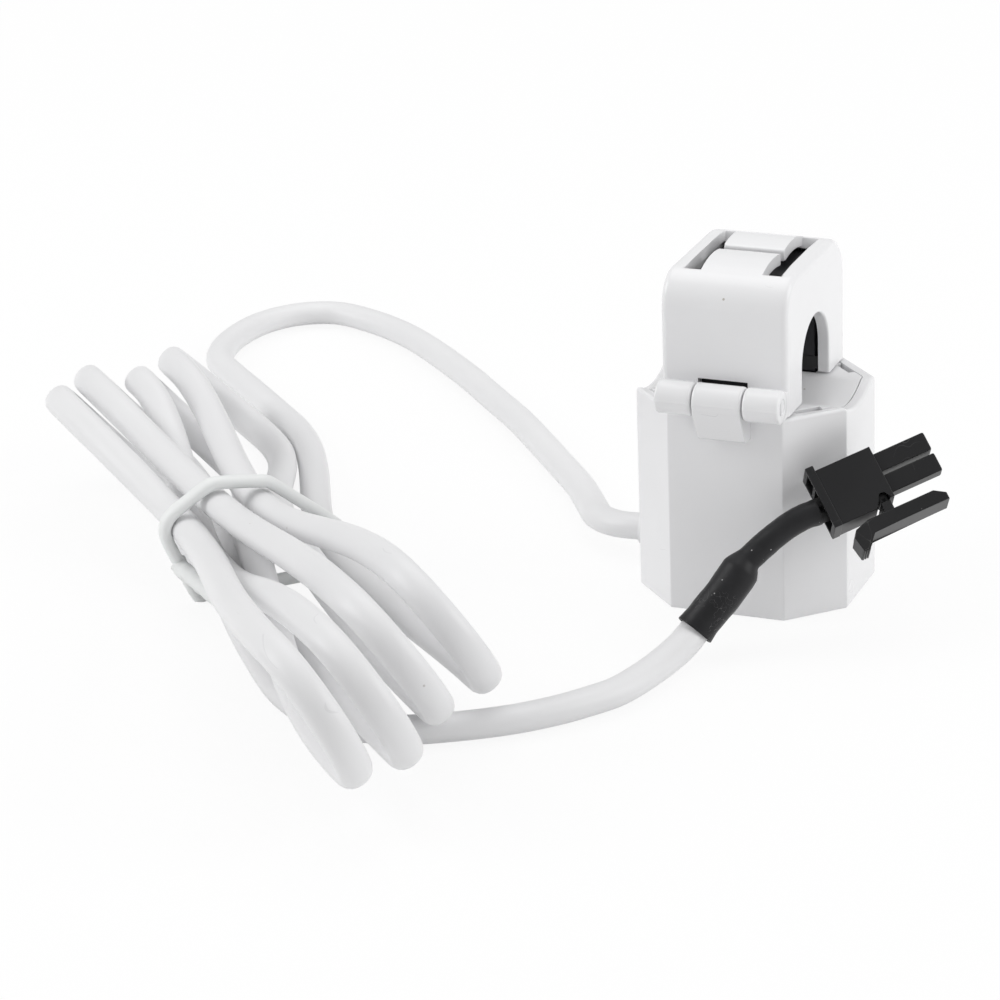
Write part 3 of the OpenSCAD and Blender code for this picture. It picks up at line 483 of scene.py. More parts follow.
SHELL = plastic_finish("white_shell", (0.83, 0.83, 0.84), (0.87, 0.87, 0.88), (0.2, 0.3), grain=3200.0,
                       depth=0.004, strength=0.12, scuff=(0.5, 0.5, 0.51), scuff_share=0.35, scale=420.0,
                       width=0.005, cover=0.73, speck=(0.32, 0.27, 0.2), speck_scale=420.0, speck_size=0.07,
                       speck_cover=0.965)
LID = plastic_finish("white_lid", (0.82, 0.82, 0.83), (0.86, 0.86, 0.87), (0.22, 0.34), depth=0.004,
                     speck=(0.4, 0.36, 0.3), speck_size=0.08, speck_cover=0.95)
PIN = plastic_finish("hinge_pin", (0.62, 0.62, 0.63), (0.72, 0.72, 0.73), (0.35, 0.5), grain=1500.0)
CORE = plastic_finish("core_coating", (0.014, 0.014, 0.016), (0.03, 0.03, 0.033), (0.42, 0.6), grain=3800.0,
                      depth=0.02, strength=0.5, scuff=(0.12, 0.12, 0.13), scuff_share=0.4,
                      speck=(0.2, 0.2, 0.2), speck_scale=900.0, speck_cover=0.9)
SHOES = plastic_finish("core_shoes", (0.012, 0.012, 0.012), (0.025, 0.025, 0.025), (0.5, 0.65))
BOBBIN = plastic_finish("bobbin", (0.74, 0.7, 0.6), (0.8, 0.76, 0.66), (0.4, 0.55))
TAPE = plastic_finish("winding_tape", (0.74, 0.6, 0.2), (0.82, 0.7, 0.28), (0.25, 0.45), grain=900.0)
BOARD = plastic_finish("board_mask", (0.045, 0.2, 0.11), (0.07, 0.28, 0.15), (0.3, 0.45), grain=1200.0)
RESISTOR = plastic_finish("resistor_lacquer", (0.1, 0.26, 0.44), (0.14, 0.33, 0.54), (0.2, 0.35))
SUPPRESSOR = plastic_finish("suppressor_epoxy", (0.03, 0.03, 0.033), (0.06, 0.06, 0.066), (0.45, 0.6))
RED_WIRE = plastic_finish("red_wire", (0.42, 0.03, 0.03), (0.52, 0.06, 0.05), (0.35, 0.5), cloud=300.0)
GLAND = plastic_finish("gland", (0.79, 0.79, 0.8), (0.84, 0.84, 0.85), (0.38, 0.5), depth=0.006)
JACKET = plastic_finish("white_jacket", (0.76, 0.76, 0.77), (0.8, 0.8, 0.805), (0.36, 0.48), grain=1500.0,
                        cloud=60.0, depth=0.01, strength=0.2, scuff=(0.6, 0.6, 0.61), scuff_share=0.3,
                        cover=0.68, speck=(0.45, 0.42, 0.4), speck_scale=300.0, speck_size=0.05,
                        speck_cover=0.97)
TIE = plastic_finish("tie_coat", (0.8, 0.815, 0.81), (0.84, 0.85, 0.845), (0.34, 0.46), grain=2000.0,
                     depth=0.006)
SLEEVE = plastic_finish("shrunk_sleeve", (0.013, 0.013, 0.014), (0.022, 0.022, 0.024), (0.34, 0.5),
                        specular=0.22, grain=900.0, cloud=400.0, depth=0.03, strength=0.4,
                        scuff=(0.3, 0.3, 0.3), scuff_share=0.3, scale=1500.0, width=0.006, cover=0.58,
                        speck=(0.5, 0.5, 0.5), speck_scale=1400.0, speck_size=0.13, speck_cover=0.9)
BLACK_WIRE = plastic_finish("black_wire", (0.015, 0.015, 0.015), (0.025, 0.025, 0.026), (0.35, 0.5))
NYLON = plastic_finish("black_nylon", (0.011, 0.011, 0.012), (0.019, 0.019, 0.02), (0.3, 0.42),
                       specular=0.28, grain=2600.0, depth=0.008, strength=0.25, scuff=(0.12, 0.12, 0.12),
                       scuff_share=0.3, scale=500.0, cover=0.66, speck=(0.25, 0.25, 0.25),
                       speck_scale=1100.0, speck_size=0.08, speck_cover=0.93)
COPPER = metal_finish("enamelled_copper", (0.55, 0.25, 0.1), (0.66, 0.36, 0.18), (0.25, 0.4))
CONTACT = metal_finish("plated_contact", (0.7, 0.56, 0.3), (0.8, 0.68, 0.42), (0.2, 0.35))


# The lead, one flat cable from the case through the tied hank to the sleeve

def make_lead():
    centres, sides = lead_line()
    bm = bmesh.new()
    shape = oval(LEAD_W / 2, LEAD_T / 2, count=20, square=2.15)
    sweep(bm, centres, sides, shape)
    lead = settle("lead", bm, "case", "white_jacket", JACKET, "lead_in", "cable_hank", "lead_out")
    length = sum((b - a).length for a, b in zip(centres, centres[1:])) * MM
    return lead, [tuple(c * MM) for c in centres], length


# Tie round the waist of the hank, and the sleeve at the lead's end

TIE_HALF_W, TIE_HALF_T = 1.1, 0.82
STRAND_HALF_W, STRAND_HALF_T = 1.15, 0.55
TIE_GAP = 0.25
TIE_LAY = 0.65
TIE_LOWEST = 0.6
TIE_TAIL = [(WAIST_AT, -11.3, 5.5), (-6.5, -11, 5.3), (-1, -10.4, 5), (5, -9.9, 5), (10, -9.6, 5),
            (14, -9.3, 5)]
TWIST_PITCH = 5.2
TWIST_R = 0.55


def hull_of(points):
    """Corners of the tightest outline round points, turning left."""
    points = sorted(points)

    def half(row):
        kept = []
        for p in row:
            while len(kept) > 1 and ((kept[-1][0] - kept[-2][0]) * (p[1] - kept[-2][1])
                                     <= (kept[-1][1] - kept[-2][1]) * (p[0] - kept[-2][0])):
                kept.pop()
            kept.append(p)
        return kept[:-1]

    return half(points) + half(points[::-1])


def tie_loop():
    """Line of the tie round the outer strands, as (across, up)."""
    corners = hull_of(WAIST_PLACES)
    reach = LEAD_W / 2 + TIE_GAP + TIE_LAY
    corner_steps, side_steps, smoothings = 8, 5, 3
    loop = []
    for i, (v, z) in enumerate(corners):
        before, after = corners[i - 1], corners[(i + 1) % len(corners)]
        start = math.atan2(-(v - before[0]), z - before[1])
        stop = math.atan2(-(after[0] - v), after[1] - z)
        while stop < start:
            stop += 2 * math.pi
        for k in range(corner_steps + 1):
            a = start + (stop - start) * k / corner_steps
            loop.append((v + reach * math.cos(a), z + reach * math.sin(a)))
        for k in range(1, side_steps):
            loop.append((v + (after[0] - v) * k / side_steps + reach * math.cos(stop),
                         z + (after[1] - z) * k / side_steps + reach * math.sin(stop)))
    for _ in range(smoothings):
        size = len(loop)
        loop = [((loop[i - 1][0] + 2 * loop[i][0] + loop[(i + 1) % size][0]) / 4,
                 (loop[i - 1][1] + 2 * loop[i][1] + loop[(i + 1) % size][1]) / 4) for i in range(size)]
    return loop


def make_tie():
    """Coated wire tie pulled round the waist of the hank, its two ends twisted together."""
    bm = bmesh.new()
    at_waist = HANK_AT + WAIST_AT * HANK_DIR
    line = [at_waist + v * HANK_ACROSS + max(z, TIE_LOWEST) * UP for v, z in tie_loop()]
    band = oval(TIE_HALF_W, TIE_HALF_T, count=18, square=2.2)
    strand = oval(STRAND_HALF_W, STRAND_HALF_T, count=14, square=2.5)
    rings = []
    size = len(line)
    for i, centre in enumerate(line):
        way = (line[(i + 1) % size] - line[i - 1]).normalized()
        lift = way.cross(HANK_DIR)
        rings.append(add_ring(bm, [centre + a * HANK_DIR + b * lift for a, b in band]))
    for i in range(size):
        join_rings(bm, rings[i], rings[(i + 1) % size])
    spine = curve_through([HANK_AT + a * HANK_DIR + v * HANK_ACROSS + z * UP for a, v, z in TIE_TAIL],
                          HANK_DIR - 0.3 * UP, HANK_DIR, step=0.25)
    ways = headings(spine)
    for phase in (0.0, math.pi):
        centres, sides = [], []
        travelled = 0.0
        for i, point in enumerate(spine):
            if i:
                travelled += (point - spine[i - 1]).length
            side = UP.cross(ways[i]).normalized()
            lift = ways[i].cross(side)
            a = phase + 2 * math.pi * travelled / TWIST_PITCH
            centres.append(point + TWIST_R * (math.cos(a) * side + math.sin(a) * lift))
            sides.append(math.cos(a + math.pi / 2) * side + math.sin(a + math.pi / 2) * lift)
        sweep(bm, centres, sides, strand)
    return settle("wire_tie", bm, "case", "tie", TIE, "twist_tie")


# Connector axes: along the prongs, across towards the latch's far side, and out towards the viewer
PLUG_AT = Vector((12.84, -14.32, 17.35))
PLUG_ALONG = Vector((0.756447, 0.582543, 0.297375))
PLUG_ACROSS = Vector((-0.585917, 0.401490, 0.703924))
PLUG_OUT = Vector((0.290672, -0.706718, 0.645027))


def make_sleeve():
    """Heat-shrunk sleeve, drawn down from the cable to the two wires."""
    route = [SLEEVE_RIM, (1.7, -24.7, 5.5), (3.1, -23.5, 7.4), (4.3, -22.2, 9.3), (5.4, -20.9, 11.2),
             (6.1, -20.3, 12), (7.1, -19.4, 13), (8.4, -18.5, 14.2), (9.8, -17.4, 15.3),
             (11.4, -16.2, 16.2), PLUG_AT - 0.6 * PLUG_ALONG - 0.8 * PLUG_ACROSS]
    spine = curve_through(route, SLEEVE_RIM_DIR, PLUG_ALONG, step=0.3)
    travelled = [0.0]
    for a, b in zip(spine, spine[1:]):
        travelled.append(travelled[-1] + (b - a).length)
    total = travelled[-1]
    cable_r, drawn_in = 2.48, 0.8
    shoulder, shoulder_half = 10.3, 1.1
    rim_flare, rim_l = 0.1, 0.5
    dip, dip_at, dip_l = 0.06, 1.6, 0.7
    end_flare, end_l = 0.05, 0.8
    lump, fine_lump = 0.05, 0.025
    flatness = 0.97
    round_points = 28
    sides = level_sides(spine)

    def radius(d, angle):
        draw = min(1, max(0, (d - shoulder + shoulder_half) / (2 * shoulder_half)))
        r = cable_r - drawn_in * ease(draw)
        r += rim_flare * math.exp(-d / rim_l) - dip * math.exp(-((d - dip_at) / dip_l) ** 2)
        r += end_flare * math.exp(-((total - d) / end_l) ** 2)
        spot = Vector((math.cos(angle) * 1.3, math.sin(angle) * 1.3, d * 0.45))
        return r + lump * noise.noise(spot) + fine_lump * noise.noise(spot * 3.1)

    def outline(i, thin):
        points = []
        for k in range(round_points):
            a = 2 * math.pi * k / round_points
            r = radius(travelled[i], a) - thin
            points.append((r * math.cos(a), r * math.sin(a) * flatness))
        return points

    bm = bmesh.new()
    ways = headings(spine)

    def ring(i, thin, back=0.0):
        side, lift = cross_axes(ways[i], sides[i])
        return add_ring(bm, [spine[i] - back * ways[i] + a * side + b * lift for a, b in outline(i, thin)])

    skin = [ring(5, 0.36), ring(1, 0.36), ring(0, 0.3, 0.06), ring(0, 0.15, 0.12), ring(0, 0.04, 0.08)]
    skin += [ring(i, 0.0) for i in range(len(spine))]
    last = len(spine) - 1
    skin += [ring(last, 0.12, -0.05), ring(last, 0.5, -0.05)]
    join_all(bm, skin)
    return settle("sleeve", bm, "case", "heat_shrink", SLEEVE, "heat_shrink")


lead, lead_path, lead_length = make_lead()
tie = make_tie()
sleeve = make_sleeve()


# Hinge, on an axis across the front of the case

HINGE_Y, HINGE_Z = -14.8, 29.85
BARREL_R = 2.15
KNUCKLE_X0, KNUCKLE_X1 = -2.9, 3.5
KNUCKLE_TOP = 31.05
CASE_BORE, COVER_BORE = 1.12, 1.06
SEAM_GAP = 0.02


def add_barrel(bm, x0, x1, bore):
    """Hinge barrel with rounded rims, a bore at its ends and the mould's parting line on its front."""
    half = [(0.9, bore), (0.08, bore), (0, bore + 0.08), (0, BARREL_R - 0.28), (0.08, BARREL_R - 0.1),
            (0.26, BARREL_R), (0.5, BARREL_R)]
    stations = [(x0 + d, r) for d, r in half] + [(x1 - d, r) for d, r in reversed(half)]
    seam_half, seam_proud = 2, 0.05
    angles = [-90 + 180 * k / 20 for k in range(1, 10)] + [-3.5, -1.2, 1.2, 3.5]
    angles += [-90 + 180 * k / 20 for k in range(11, 21)] + [90 + 180 * k / 12 for k in range(1, 13)]
    rings = []
    for x, r in stations:
        ring = []
        for a in angles:
            reach = r + seam_proud if abs(a) < seam_half and r == BARREL_R else r
            a = math.radians(a)
            ring.append(Vector((x, HINGE_Y - reach * math.cos(a), HINGE_Z + reach * math.sin(a))))
        rings.append(add_ring(bm, ring))
    join_all(bm, rings)


# Case and lid, their edges rounded as moulded

CASE_H = 27.3
CASE_WALL = 1.4
CASE_FLOOR = 1.4
CASE_MIDDLE = 6.0
CASE_CORNERS = [(14, -6.1), (14, 6.1), (7.6, 12.5), (-7.6, 12.5),
                (-14, 6.1), (-14, -6.1), (-7.6, -12.5), (7.6, -12.5)]
CORNER_ROUND = 0.4
RIM_ROUND = 0.45
HINGE_TAB = 3
CONDUCTOR_Y = -0.7
TROUGH_D, TROUGH_R = 1.3, 12.285
TROUGH_FROM_X = 12
LID_EDGE = 0.1
LID_EDGES_FROM_Z = 25
SQUARE_EDGE = math.radians(28)


def case_outline(inset):
    """Eight-sided outline of the case, moved inwards and rounded, finer along the trough's sides."""
    line = []
    corner_steps, side_steps = 4, 16
    count = len(CASE_CORNERS)
    for i, corner in enumerate(CASE_CORNERS):
        corner = Vector(corner)
        back = (Vector(CASE_CORNERS[i - 1]) - corner).normalized()
        ahead = (Vector(CASE_CORNERS[(i + 1) % count]) - corner).normalized()
        inward = (back + ahead).normalized()
        half = back.angle(ahead) / 2
        middle = corner + inward * (inset + CORNER_ROUND) / math.sin(half)
        turn = math.pi - 2 * half
        start = math.atan2(-inward.y, -inward.x) - turn / 2
        for k in range(corner_steps + 1):
            a = start + turn * k / corner_steps
            line.append((middle.x + CORNER_ROUND * math.cos(a), middle.y + CORNER_ROUND * math.sin(a)))
        if i in (0, 4):
            half_side = abs(corner.y) - inset * math.tan(math.pi / 8) - 0.3
            x = corner.x - math.copysign(inset, corner.x)
            way = math.copysign(1, -corner.y)
            line += [(x, way * half_side * (2 * k / side_steps - 1)) for k in range(side_steps + 1)]
    return line


def trough_drop(x, y):
    """Fall of the rim where the conductor's trough crosses it."""
    if abs(x) < TROUGH_FROM_X:
        return 0.0
    return max(0.0, TROUGH_D - TROUGH_R + math.sqrt(TROUGH_R ** 2 - (y - CONDUCTOR_Y) ** 2))


def make_case():
    """Eight-sided cup with rounded edges, its middle hinge knuckle in front and its catch behind."""
    bm = bmesh.new()
    levels = [(CASE_MIDDLE, CASE_FLOOR), (CASE_WALL, CASE_FLOOR), (CASE_WALL, CASE_H - 0.06),
              (CASE_WALL - 0.06, CASE_H)]
    for k in range(5):
        a = math.pi / 2 * k / 4
        levels.append((RIM_ROUND * (1 - math.sin(a)), CASE_H - RIM_ROUND * (1 - math.cos(a))))
    levels += [(0.0, 0.3), (0.09, 0.09), (0.3, 0.0), (CASE_MIDDLE, 0.0)]
    rings = []
    for inset, z in levels:
        at_rim = z > CASE_H / 2
        outline = case_outline(inset)
        rings.append(add_ring(bm, [Vector((x, y, z - at_rim * trough_drop(x, y))) for x, y in outline]))
    join_all(bm, rings)
    add_barrel(bm, KNUCKLE_X0, KNUCKLE_X1, CASE_BORE)
    bracket = [(-16.94, 29.8), (-16.5, 28.2), (-14.7, 24.75), (-14.35, 24.45), (-12.4, CASE_H - HINGE_TAB),
               (-12.4, CASE_H - 0.1), (-13.51, 28.24), (HINGE_Y, HINGE_Z)]
    add_prism(bm, bracket, KNUCKLE_X0 + SEAM_GAP, KNUCKLE_X1 - SEAM_GAP, edge=0.12)
    catch = [(12.2, 20.6), (12.9, 21.9), (13.6, 23.3), (13.6, 23.9), (12.2, 23.9)]
    add_prism(bm, catch, -2.3, 2.3, edge=0.12)
    return settle("case", bm, "case", "white_shell", SHELL, "body_case")


def make_lid():
    """Copy of the lid's solid with its upper edges rounded."""
    bm = bmesh.new()
    bm.from_mesh(nodes["body_lid"].data)
    bmesh.ops.remove_doubles(bm, verts=bm.verts, dist=SAME_SPOT)
    bmesh.ops.dissolve_limit(bm, angle_limit=math.radians(0.5), verts=bm.verts, edges=bm.edges)
    chosen = []
    for edge in bm.edges:
        high = (edge.verts[0].co.z + edge.verts[1].co.z) / 2 > LID_EDGES_FROM_Z * MM
        if high and edge.is_manifold and edge.is_convex and edge.calc_face_angle() >= SQUARE_EDGE:
            chosen.append(edge)
    round_edges(bm, chosen, LID_EDGE, segments=2)
    return settle("lid", bm, "case", "white_lid", LID, "body_lid")


# Cover: a rounded shell with the conductor arch, top window, spring tongues, knuckles and snap tab

COVER_HALF = 8.3
COVER_IN = 6.8
COVER_Y0, COVER_Y1 = -12.4, 11.5
COVER_Z0, COVER_Z1 = 27.6, 44.9
FRONT_R, REAR_R = 4.2, 5.5
COVER_WALL = 1.5
FOOT = 0.4
COVER_EDGE = 0.9
WINDOW_EDGE = 0.26
ARCH_Z, ARCH_R = 31.7, 5.6
WINDOW_X = 6.3
TONGUE_HALF = 4.0
WINDOW_Y0, WINDOW_Y1 = -8.7, 7.6
FRONT_TIP, REAR_TIP = -1.35, -0.05
CORE_TOP = 42.7
NOTCH_X0, NOTCH_X1, NOTCH_TOP = -3.45, 3.1, 31.75


def cover_outline(inset):
    """Side outline of the cover from its front foot over the top to its rear foot."""
    front_mid, rear_mid = COVER_Y0 + FRONT_R, COVER_Y1 - REAR_R
    front_stop = math.degrees(math.acos((WINDOW_Y0 - front_mid) / FRONT_R))
    rear_stop = math.degrees(math.acos((WINDOW_Y1 - rear_mid) / REAR_R))
    line = []
    for z in (COVER_Z0, COVER_Z0 + FOOT, NOTCH_TOP, 34, 37.5):
        line.append((COVER_Y0 + inset, z))
    angles = [180 - (180 - front_stop) * k / 12 for k in range(13)] + [90]
    for a in angles:
        a = math.radians(a)
        line.append((front_mid + (FRONT_R - inset) * math.cos(a),
                     COVER_Z1 - FRONT_R + (FRONT_R - inset) * math.sin(a)))
    for k in range(1, 4):
        line.append((front_mid + (rear_mid - front_mid) * k / 4, COVER_Z1 - inset))
    angles = [90, (90 + rear_stop) / 2] + [rear_stop * (1 - k / 12) for k in range(13)]
    for a in angles:
        a = math.radians(a)
        line.append((rear_mid + (REAR_R - inset) * math.cos(a),
                     COVER_Z1 - REAR_R + (REAR_R - inset) * math.sin(a)))
    for z in (36.5, 34, KNUCKLE_TOP, COVER_Z0 + FOOT, COVER_Z0):
        line.append((COVER_Y1 - inset, z))
    return line


def arch_outline(grow):
    """Conductor arch from its rear foot over the top to its front foot."""
    line = [(CONDUCTOR_Y + ARCH_R + grow, COVER_Z0)]
    for k in range(33):
        a = math.pi * k / 32
        line.append((CONDUCTOR_Y + (ARCH_R + grow) * math.cos(a), ARCH_Z + (ARCH_R + grow) * math.sin(a)))
    line.append((CONDUCTOR_Y - ARCH_R - grow, COVER_Z0))
    return line


def draw_shell(bm):
    """Skin of the cover inside and out, with its top window, arch and notch over the middle knuckle."""
    # Rows of the side outline at the window's front and rear edges and at the top of the notch
    front_key, rear_key, notch_key = 17, 24, 2
    # Columns at the window's sides and the notch, on the outer and the inner skin
    left, right, notch = 7, 12, 9
    in_left, in_right, in_notch = 1, 6, 3
    rounding = []
    for k in range(left):
        a = math.pi / 2 * k / (left - 1)
        rounding.append((-COVER_HALF + COVER_EDGE * (1 - math.cos(a)), COVER_EDGE * (1 - math.sin(a))))
    places = [-WINDOW_X, -TONGUE_HALF, NOTCH_X0, NOTCH_X1, TONGUE_HALF, WINDOW_X]
    columns = rounding + [(x, 0.0) for x in places]
    columns += [(-x, inset) for x, inset in reversed(rounding)]
    outer = [side_ring(bm, x, cover_outline(inset)) for x, inset in columns]
    spots = [-COVER_IN] + [columns[c][0] for c in range(left, right + 1)] + [COVER_IN]
    inner = [side_ring(bm, x, cover_outline(COVER_WALL)) for x in spots]
    rows = len(outer[0])
    for skin, first, last in ((outer, left, right), (inner, in_left, in_right)):
        for c in range(len(skin) - 1):
            for r in range(rows - 1):
                if first <= c < last and front_key <= r < rear_key:
                    continue
                if c == first + notch - left and r < notch_key:
                    continue
                bm.faces.new((skin[c][r], skin[c][r + 1], skin[c + 1][r + 1], skin[c + 1][r]))
    rim = []
    for c in range(left, right):
        for r in (front_key, rear_key):
            a, b, k = outer[c][r], outer[c + 1][r], c - left + in_left
            bm.faces.new((a, b, inner[k + 1][r], inner[k][r]))
            if c in (left, right - 1):
                rim.append((a, b))
    for r in range(front_key, rear_key):
        for c, k in ((left, in_left), (right, in_right)):
            a, b = outer[c][r], outer[c][r + 1]
            bm.faces.new((a, b, inner[k][r + 1], inner[k][r]))
            rim.append((a, b))
    for side, outside, inside in ((-1, outer[0], inner[0]), (1, outer[-1], inner[-1])):
        steps = [(COVER_HALF, 0.3), (COVER_HALF - 0.06, 0.13), (COVER_HALF - 0.16, 0.04),
                 (COVER_HALF - 0.32, 0.0), (COVER_IN, 0.0)]
        arches = [side_ring(bm, side * x, arch_outline(grow)) for x, grow in steps]
        bm.faces.new(outside + arches[0])
        bm.faces.new(inside + arches[-1])
        for a, b in zip(arches, arches[1:]):
            for i in range(len(a) - 1):
                bm.faces.new((a[i], a[i + 1], b[i + 1], b[i]))
        bm.faces.new([outside[0]] + [arch[-1] for arch in arches] + [inside[0]])
        bm.faces.new([outside[-1]] + [arch[0] for arch in arches] + [inside[-1]])
    for c, k in ((notch, in_notch), (notch + 1, in_notch + 1)):
        for r in range(notch_key):
            bm.faces.new((outer[c][r], outer[c][r + 1], inner[k][r + 1], inner[k][r]))
    sides = outer[notch], outer[notch + 1], inner[in_notch + 1], inner[in_notch]
    bm.faces.new([column[notch_key] for column in sides])
    for outside, inside, r in ((outer[:notch + 1], inner[:in_notch + 1], 0),
                               (outer[notch + 1:], inner[in_notch + 1:], 0), (outer, inner, rows - 1)):
        bm.faces.new([column[r] for column in outside] + [column[r] for column in reversed(inside)])
    round_edges(bm, [bm.edges.get(pair) for pair in rim], WINDOW_EDGE)


def cover_top(y):
    """Height of the cover's outer curve near its window."""
    r, middle = (FRONT_R, COVER_Y0 + FRONT_R) if y < 0 else (REAR_R, COVER_Y1 - REAR_R)
    return COVER_Z1 - r + math.sqrt(r * r - (y - middle) ** 2)


def tongue_outline(root, tip, way):
    """Side outline of a spring tongue that flows out of the cover's curve, with a rounded tip."""
    tilt, bulge, crest, thick = 0.3, 0.5, 0.15, 1.5
    proud, sunk = 0.03, 0.25
    root_l, blend_l, tip_l, heel_l = 2.2, 3.2, 0.4, 2.0
    root_steps, arc_steps = 5, 22
    span = abs(tip - root)
    lean = math.atan(tilt / span)
    chord = span / math.cos(lean)
    arc = chord * chord / 4 / (2 * bulge) + bulge / 2
    drop = arc - bulge
    y0 = (root + tip) / 2 + way * drop * math.sin(lean)
    z0 = COVER_Z1 + crest - drop * math.cos(lean)
    step_up = cover_top(root) + proud - z0 - math.sqrt(arc ** 2 - (root - y0) ** 2)
    top, under = [], []
    for k in range(root_steps):
        y = root - way * root_l * (1 - k / root_steps)
        top.append((y, cover_top(y) - sunk + (sunk + proud) * (k / root_steps) ** 0.5))
    for k in range(arc_steps + 1):
        y = root + (tip - way * tip_l - root) * k / arc_steps
        rise = step_up * (1 - ease(min(1.0, abs(y - root) / blend_l)))
        top.append((y, z0 + math.sqrt(arc ** 2 - (y - y0) ** 2) + rise))
        under.append((y, z0 + math.sqrt((arc - thick) ** 2 - (y - y0) ** 2)))
    heel = root - way * heel_l
    under = [(heel, cover_top(heel) - 1.2), (root - way * 0.6, under[0][1] - 0.05)] + under
    end_high = z0 + math.sqrt(arc ** 2 - (tip - y0) ** 2)
    end_low = z0 + math.sqrt((arc - thick) ** 2 - (tip - y0) ** 2)
    nose = [(tip - way * 0.22, end_high + 0.02), (tip - way * 0.08, end_high - 0.08),
            (tip, end_high - 0.28), (tip, end_low + 0.22), (tip - way * 0.1, end_low + 0.06)]
    return top + nose + under[::-1]


def add_snap_frame(bm):
    """Snap tab behind the cover: a plate whose window hooks over the case's catch."""
    part = bmesh.new()
    across, depths = (-4, -2.7, 2.7, 4), (12.8, 14.0)
    heights = (18.9, 20.9, 25.2, COVER_Z0 + 5)
    grid = [[add_ring(part, [Vector((x, y, z)) for z in heights]) for x in across] for y in depths]
    for side in grid:
        for i in range(3):
            for k in range(3):
                if (i, k) != (1, 1):
                    part.faces.new((side[i][k], side[i + 1][k], side[i + 1][k + 1], side[i][k + 1]))
    border = [(i, 0) for i in range(4)] + [(3, k) for k in (1, 2, 3)]
    border += [(i, 3) for i in (2, 1, 0)] + [(0, k) for k in (2, 1)]
    for loop in (border, [(1, 1), (2, 1), (2, 2), (1, 2)]):
        for here, there in zip(loop, loop[1:] + loop[:1]):
            part.faces.new([grid[d][i][k] for d, (i, k) in ((0, here), (0, there), (1, there), (1, here))])
    bmesh.ops.recalc_face_normals(part, faces=part.faces)
    round_edges(part, [edge for edge in part.edges if edge.calc_face_angle(0) > SQUARE_EDGE], width=0.2)
    take_in(bm, part)


def make_cover():
    """Hinged cover with its arch, window, tongues, outer knuckles and snap tab."""
    bm = bmesh.new()
    draw_shell(bm)
    for root, tip, way in ((WINDOW_Y0, FRONT_TIP, 1), (WINDOW_Y1, REAR_TIP, -1)):
        add_prism(bm, tongue_outline(root, tip, way), -TONGUE_HALF, TONGUE_HALF, edge=0.2)
        ends = sorted((tip - way * 0.6, tip - way * 1.8))
        add_block(bm, (-2, ends[0], CORE_TOP + 0.05), (2, ends[1], COVER_Z1 - 0.75), edge=0.1)
    for x0, x1, web_x1 in ((-7.8, -3.1, -3.12), (3.7, 8.4, 8.28)):
        add_barrel(bm, x0, x1, COVER_BORE)
        web_end = (web_x1, COVER_Y0 + COVER_WALL / 2, KNUCKLE_TOP)
        add_block(bm, (x0 + SEAM_GAP, HINGE_Y, COVER_Z0 + 0.1), web_end, edge=0.14)
    tab_root = (-3.9, COVER_Y1 - COVER_WALL / 2, COVER_Z0 + SEAM_GAP)
    add_block(bm, tab_root, (3.9, 13.9, COVER_Z0 + 4.9), edge=0.2)
    add_snap_frame(bm)
    return settle("cover", bm, "cover", "white_shell", SHELL, "core_cover")


# Connector, drawn as (out, along, across) from the rear of its flange

PIN_PITCH = 3
PIVOT_ALONG, PIVOT_ACROSS = 7.25, -3.1
PIVOT_R, PIVOT_HALF = 0.6, 1.6


def seat_plug(bm):
    """Carry a mesh drawn at the connector's own axes to its place."""
    for vert in bm.verts:
        out, along, across = vert.co
        vert.co = PLUG_AT * MM + along * PLUG_ALONG + across * PLUG_ACROSS + out * PLUG_OUT


def add_prong(bm, across):
    """Square terminal prong with rounded edges and its contact cavity."""
    half_w, half_t, bore, corner, tip = 1.25, 1.1, 0.8, 0.16, 15.8
    stations = [(8.3, half_w, half_t), (tip - 0.25, half_w, half_t),
                (tip - 0.07, half_w - 0.06, half_t - 0.06), (tip, half_w - 0.2, half_t - 0.2),
                (tip, bore + 0.06, bore + 0.06), (tip - 0.1, bore, bore), (9.0, bore, bore)]
    rings = []
    for along, w, t in stations:
        ring = []
        for quarter, (right, high) in enumerate(((1, 1), (-1, 1), (-1, -1), (1, -1))):
            for k in range(4):
                a = math.radians(90 * quarter + 30 * k)
                ring.append(Vector((high * (t - corner) + corner * math.sin(a), along,
                                    across + right * (w - corner) + corner * math.cos(a))))
        rings.append(add_ring(bm, ring))
    join_all(bm, rings)


def make_plug():
    """Two-way housing: hollow flange, block with the latch's notch, rail and two prongs."""
    bm = bmesh.new()
    body = [(0.95, 3.55), (8.6, 3.55), (8.6, -3.55), (7.98, -3.55), (7.98, -2.95), (7.7, -2.45),
            (PIVOT_ALONG, -2.36), (6.8, -2.45), (6.52, -2.95), (6.52, -3.55), (6.0, -3.55), (6.0, -4.2),
            (0.95, -4.2)]
    add_prism(bm, body, -2.25, 2.25, edge=0.14)
    flange_bars = [((-2.4, 0, 3.45), (2.4, 1.1, 4.25)), ((-2.4, 0, -4.25), (2.4, 1.1, -3.45)),
                   ((1.84, 0.01, -4.2), (2.38, 1.09, 4.2)), ((-2.38, 0.01, -4.2), (-1.84, 1.09, 4.2)),
                   ((-2.0, 0.08, 1.35), (2.0, 1.05, 1.95))]
    for low, high in flange_bars:
        add_block(bm, low, high, edge=0.12)
    for side in (-1, 1):
        add_prong(bm, side * PIN_PITCH / 2)
    seat_plug(bm)
    return settle("plug", bm, "case", "black_nylon", NYLON, "connector_housing")


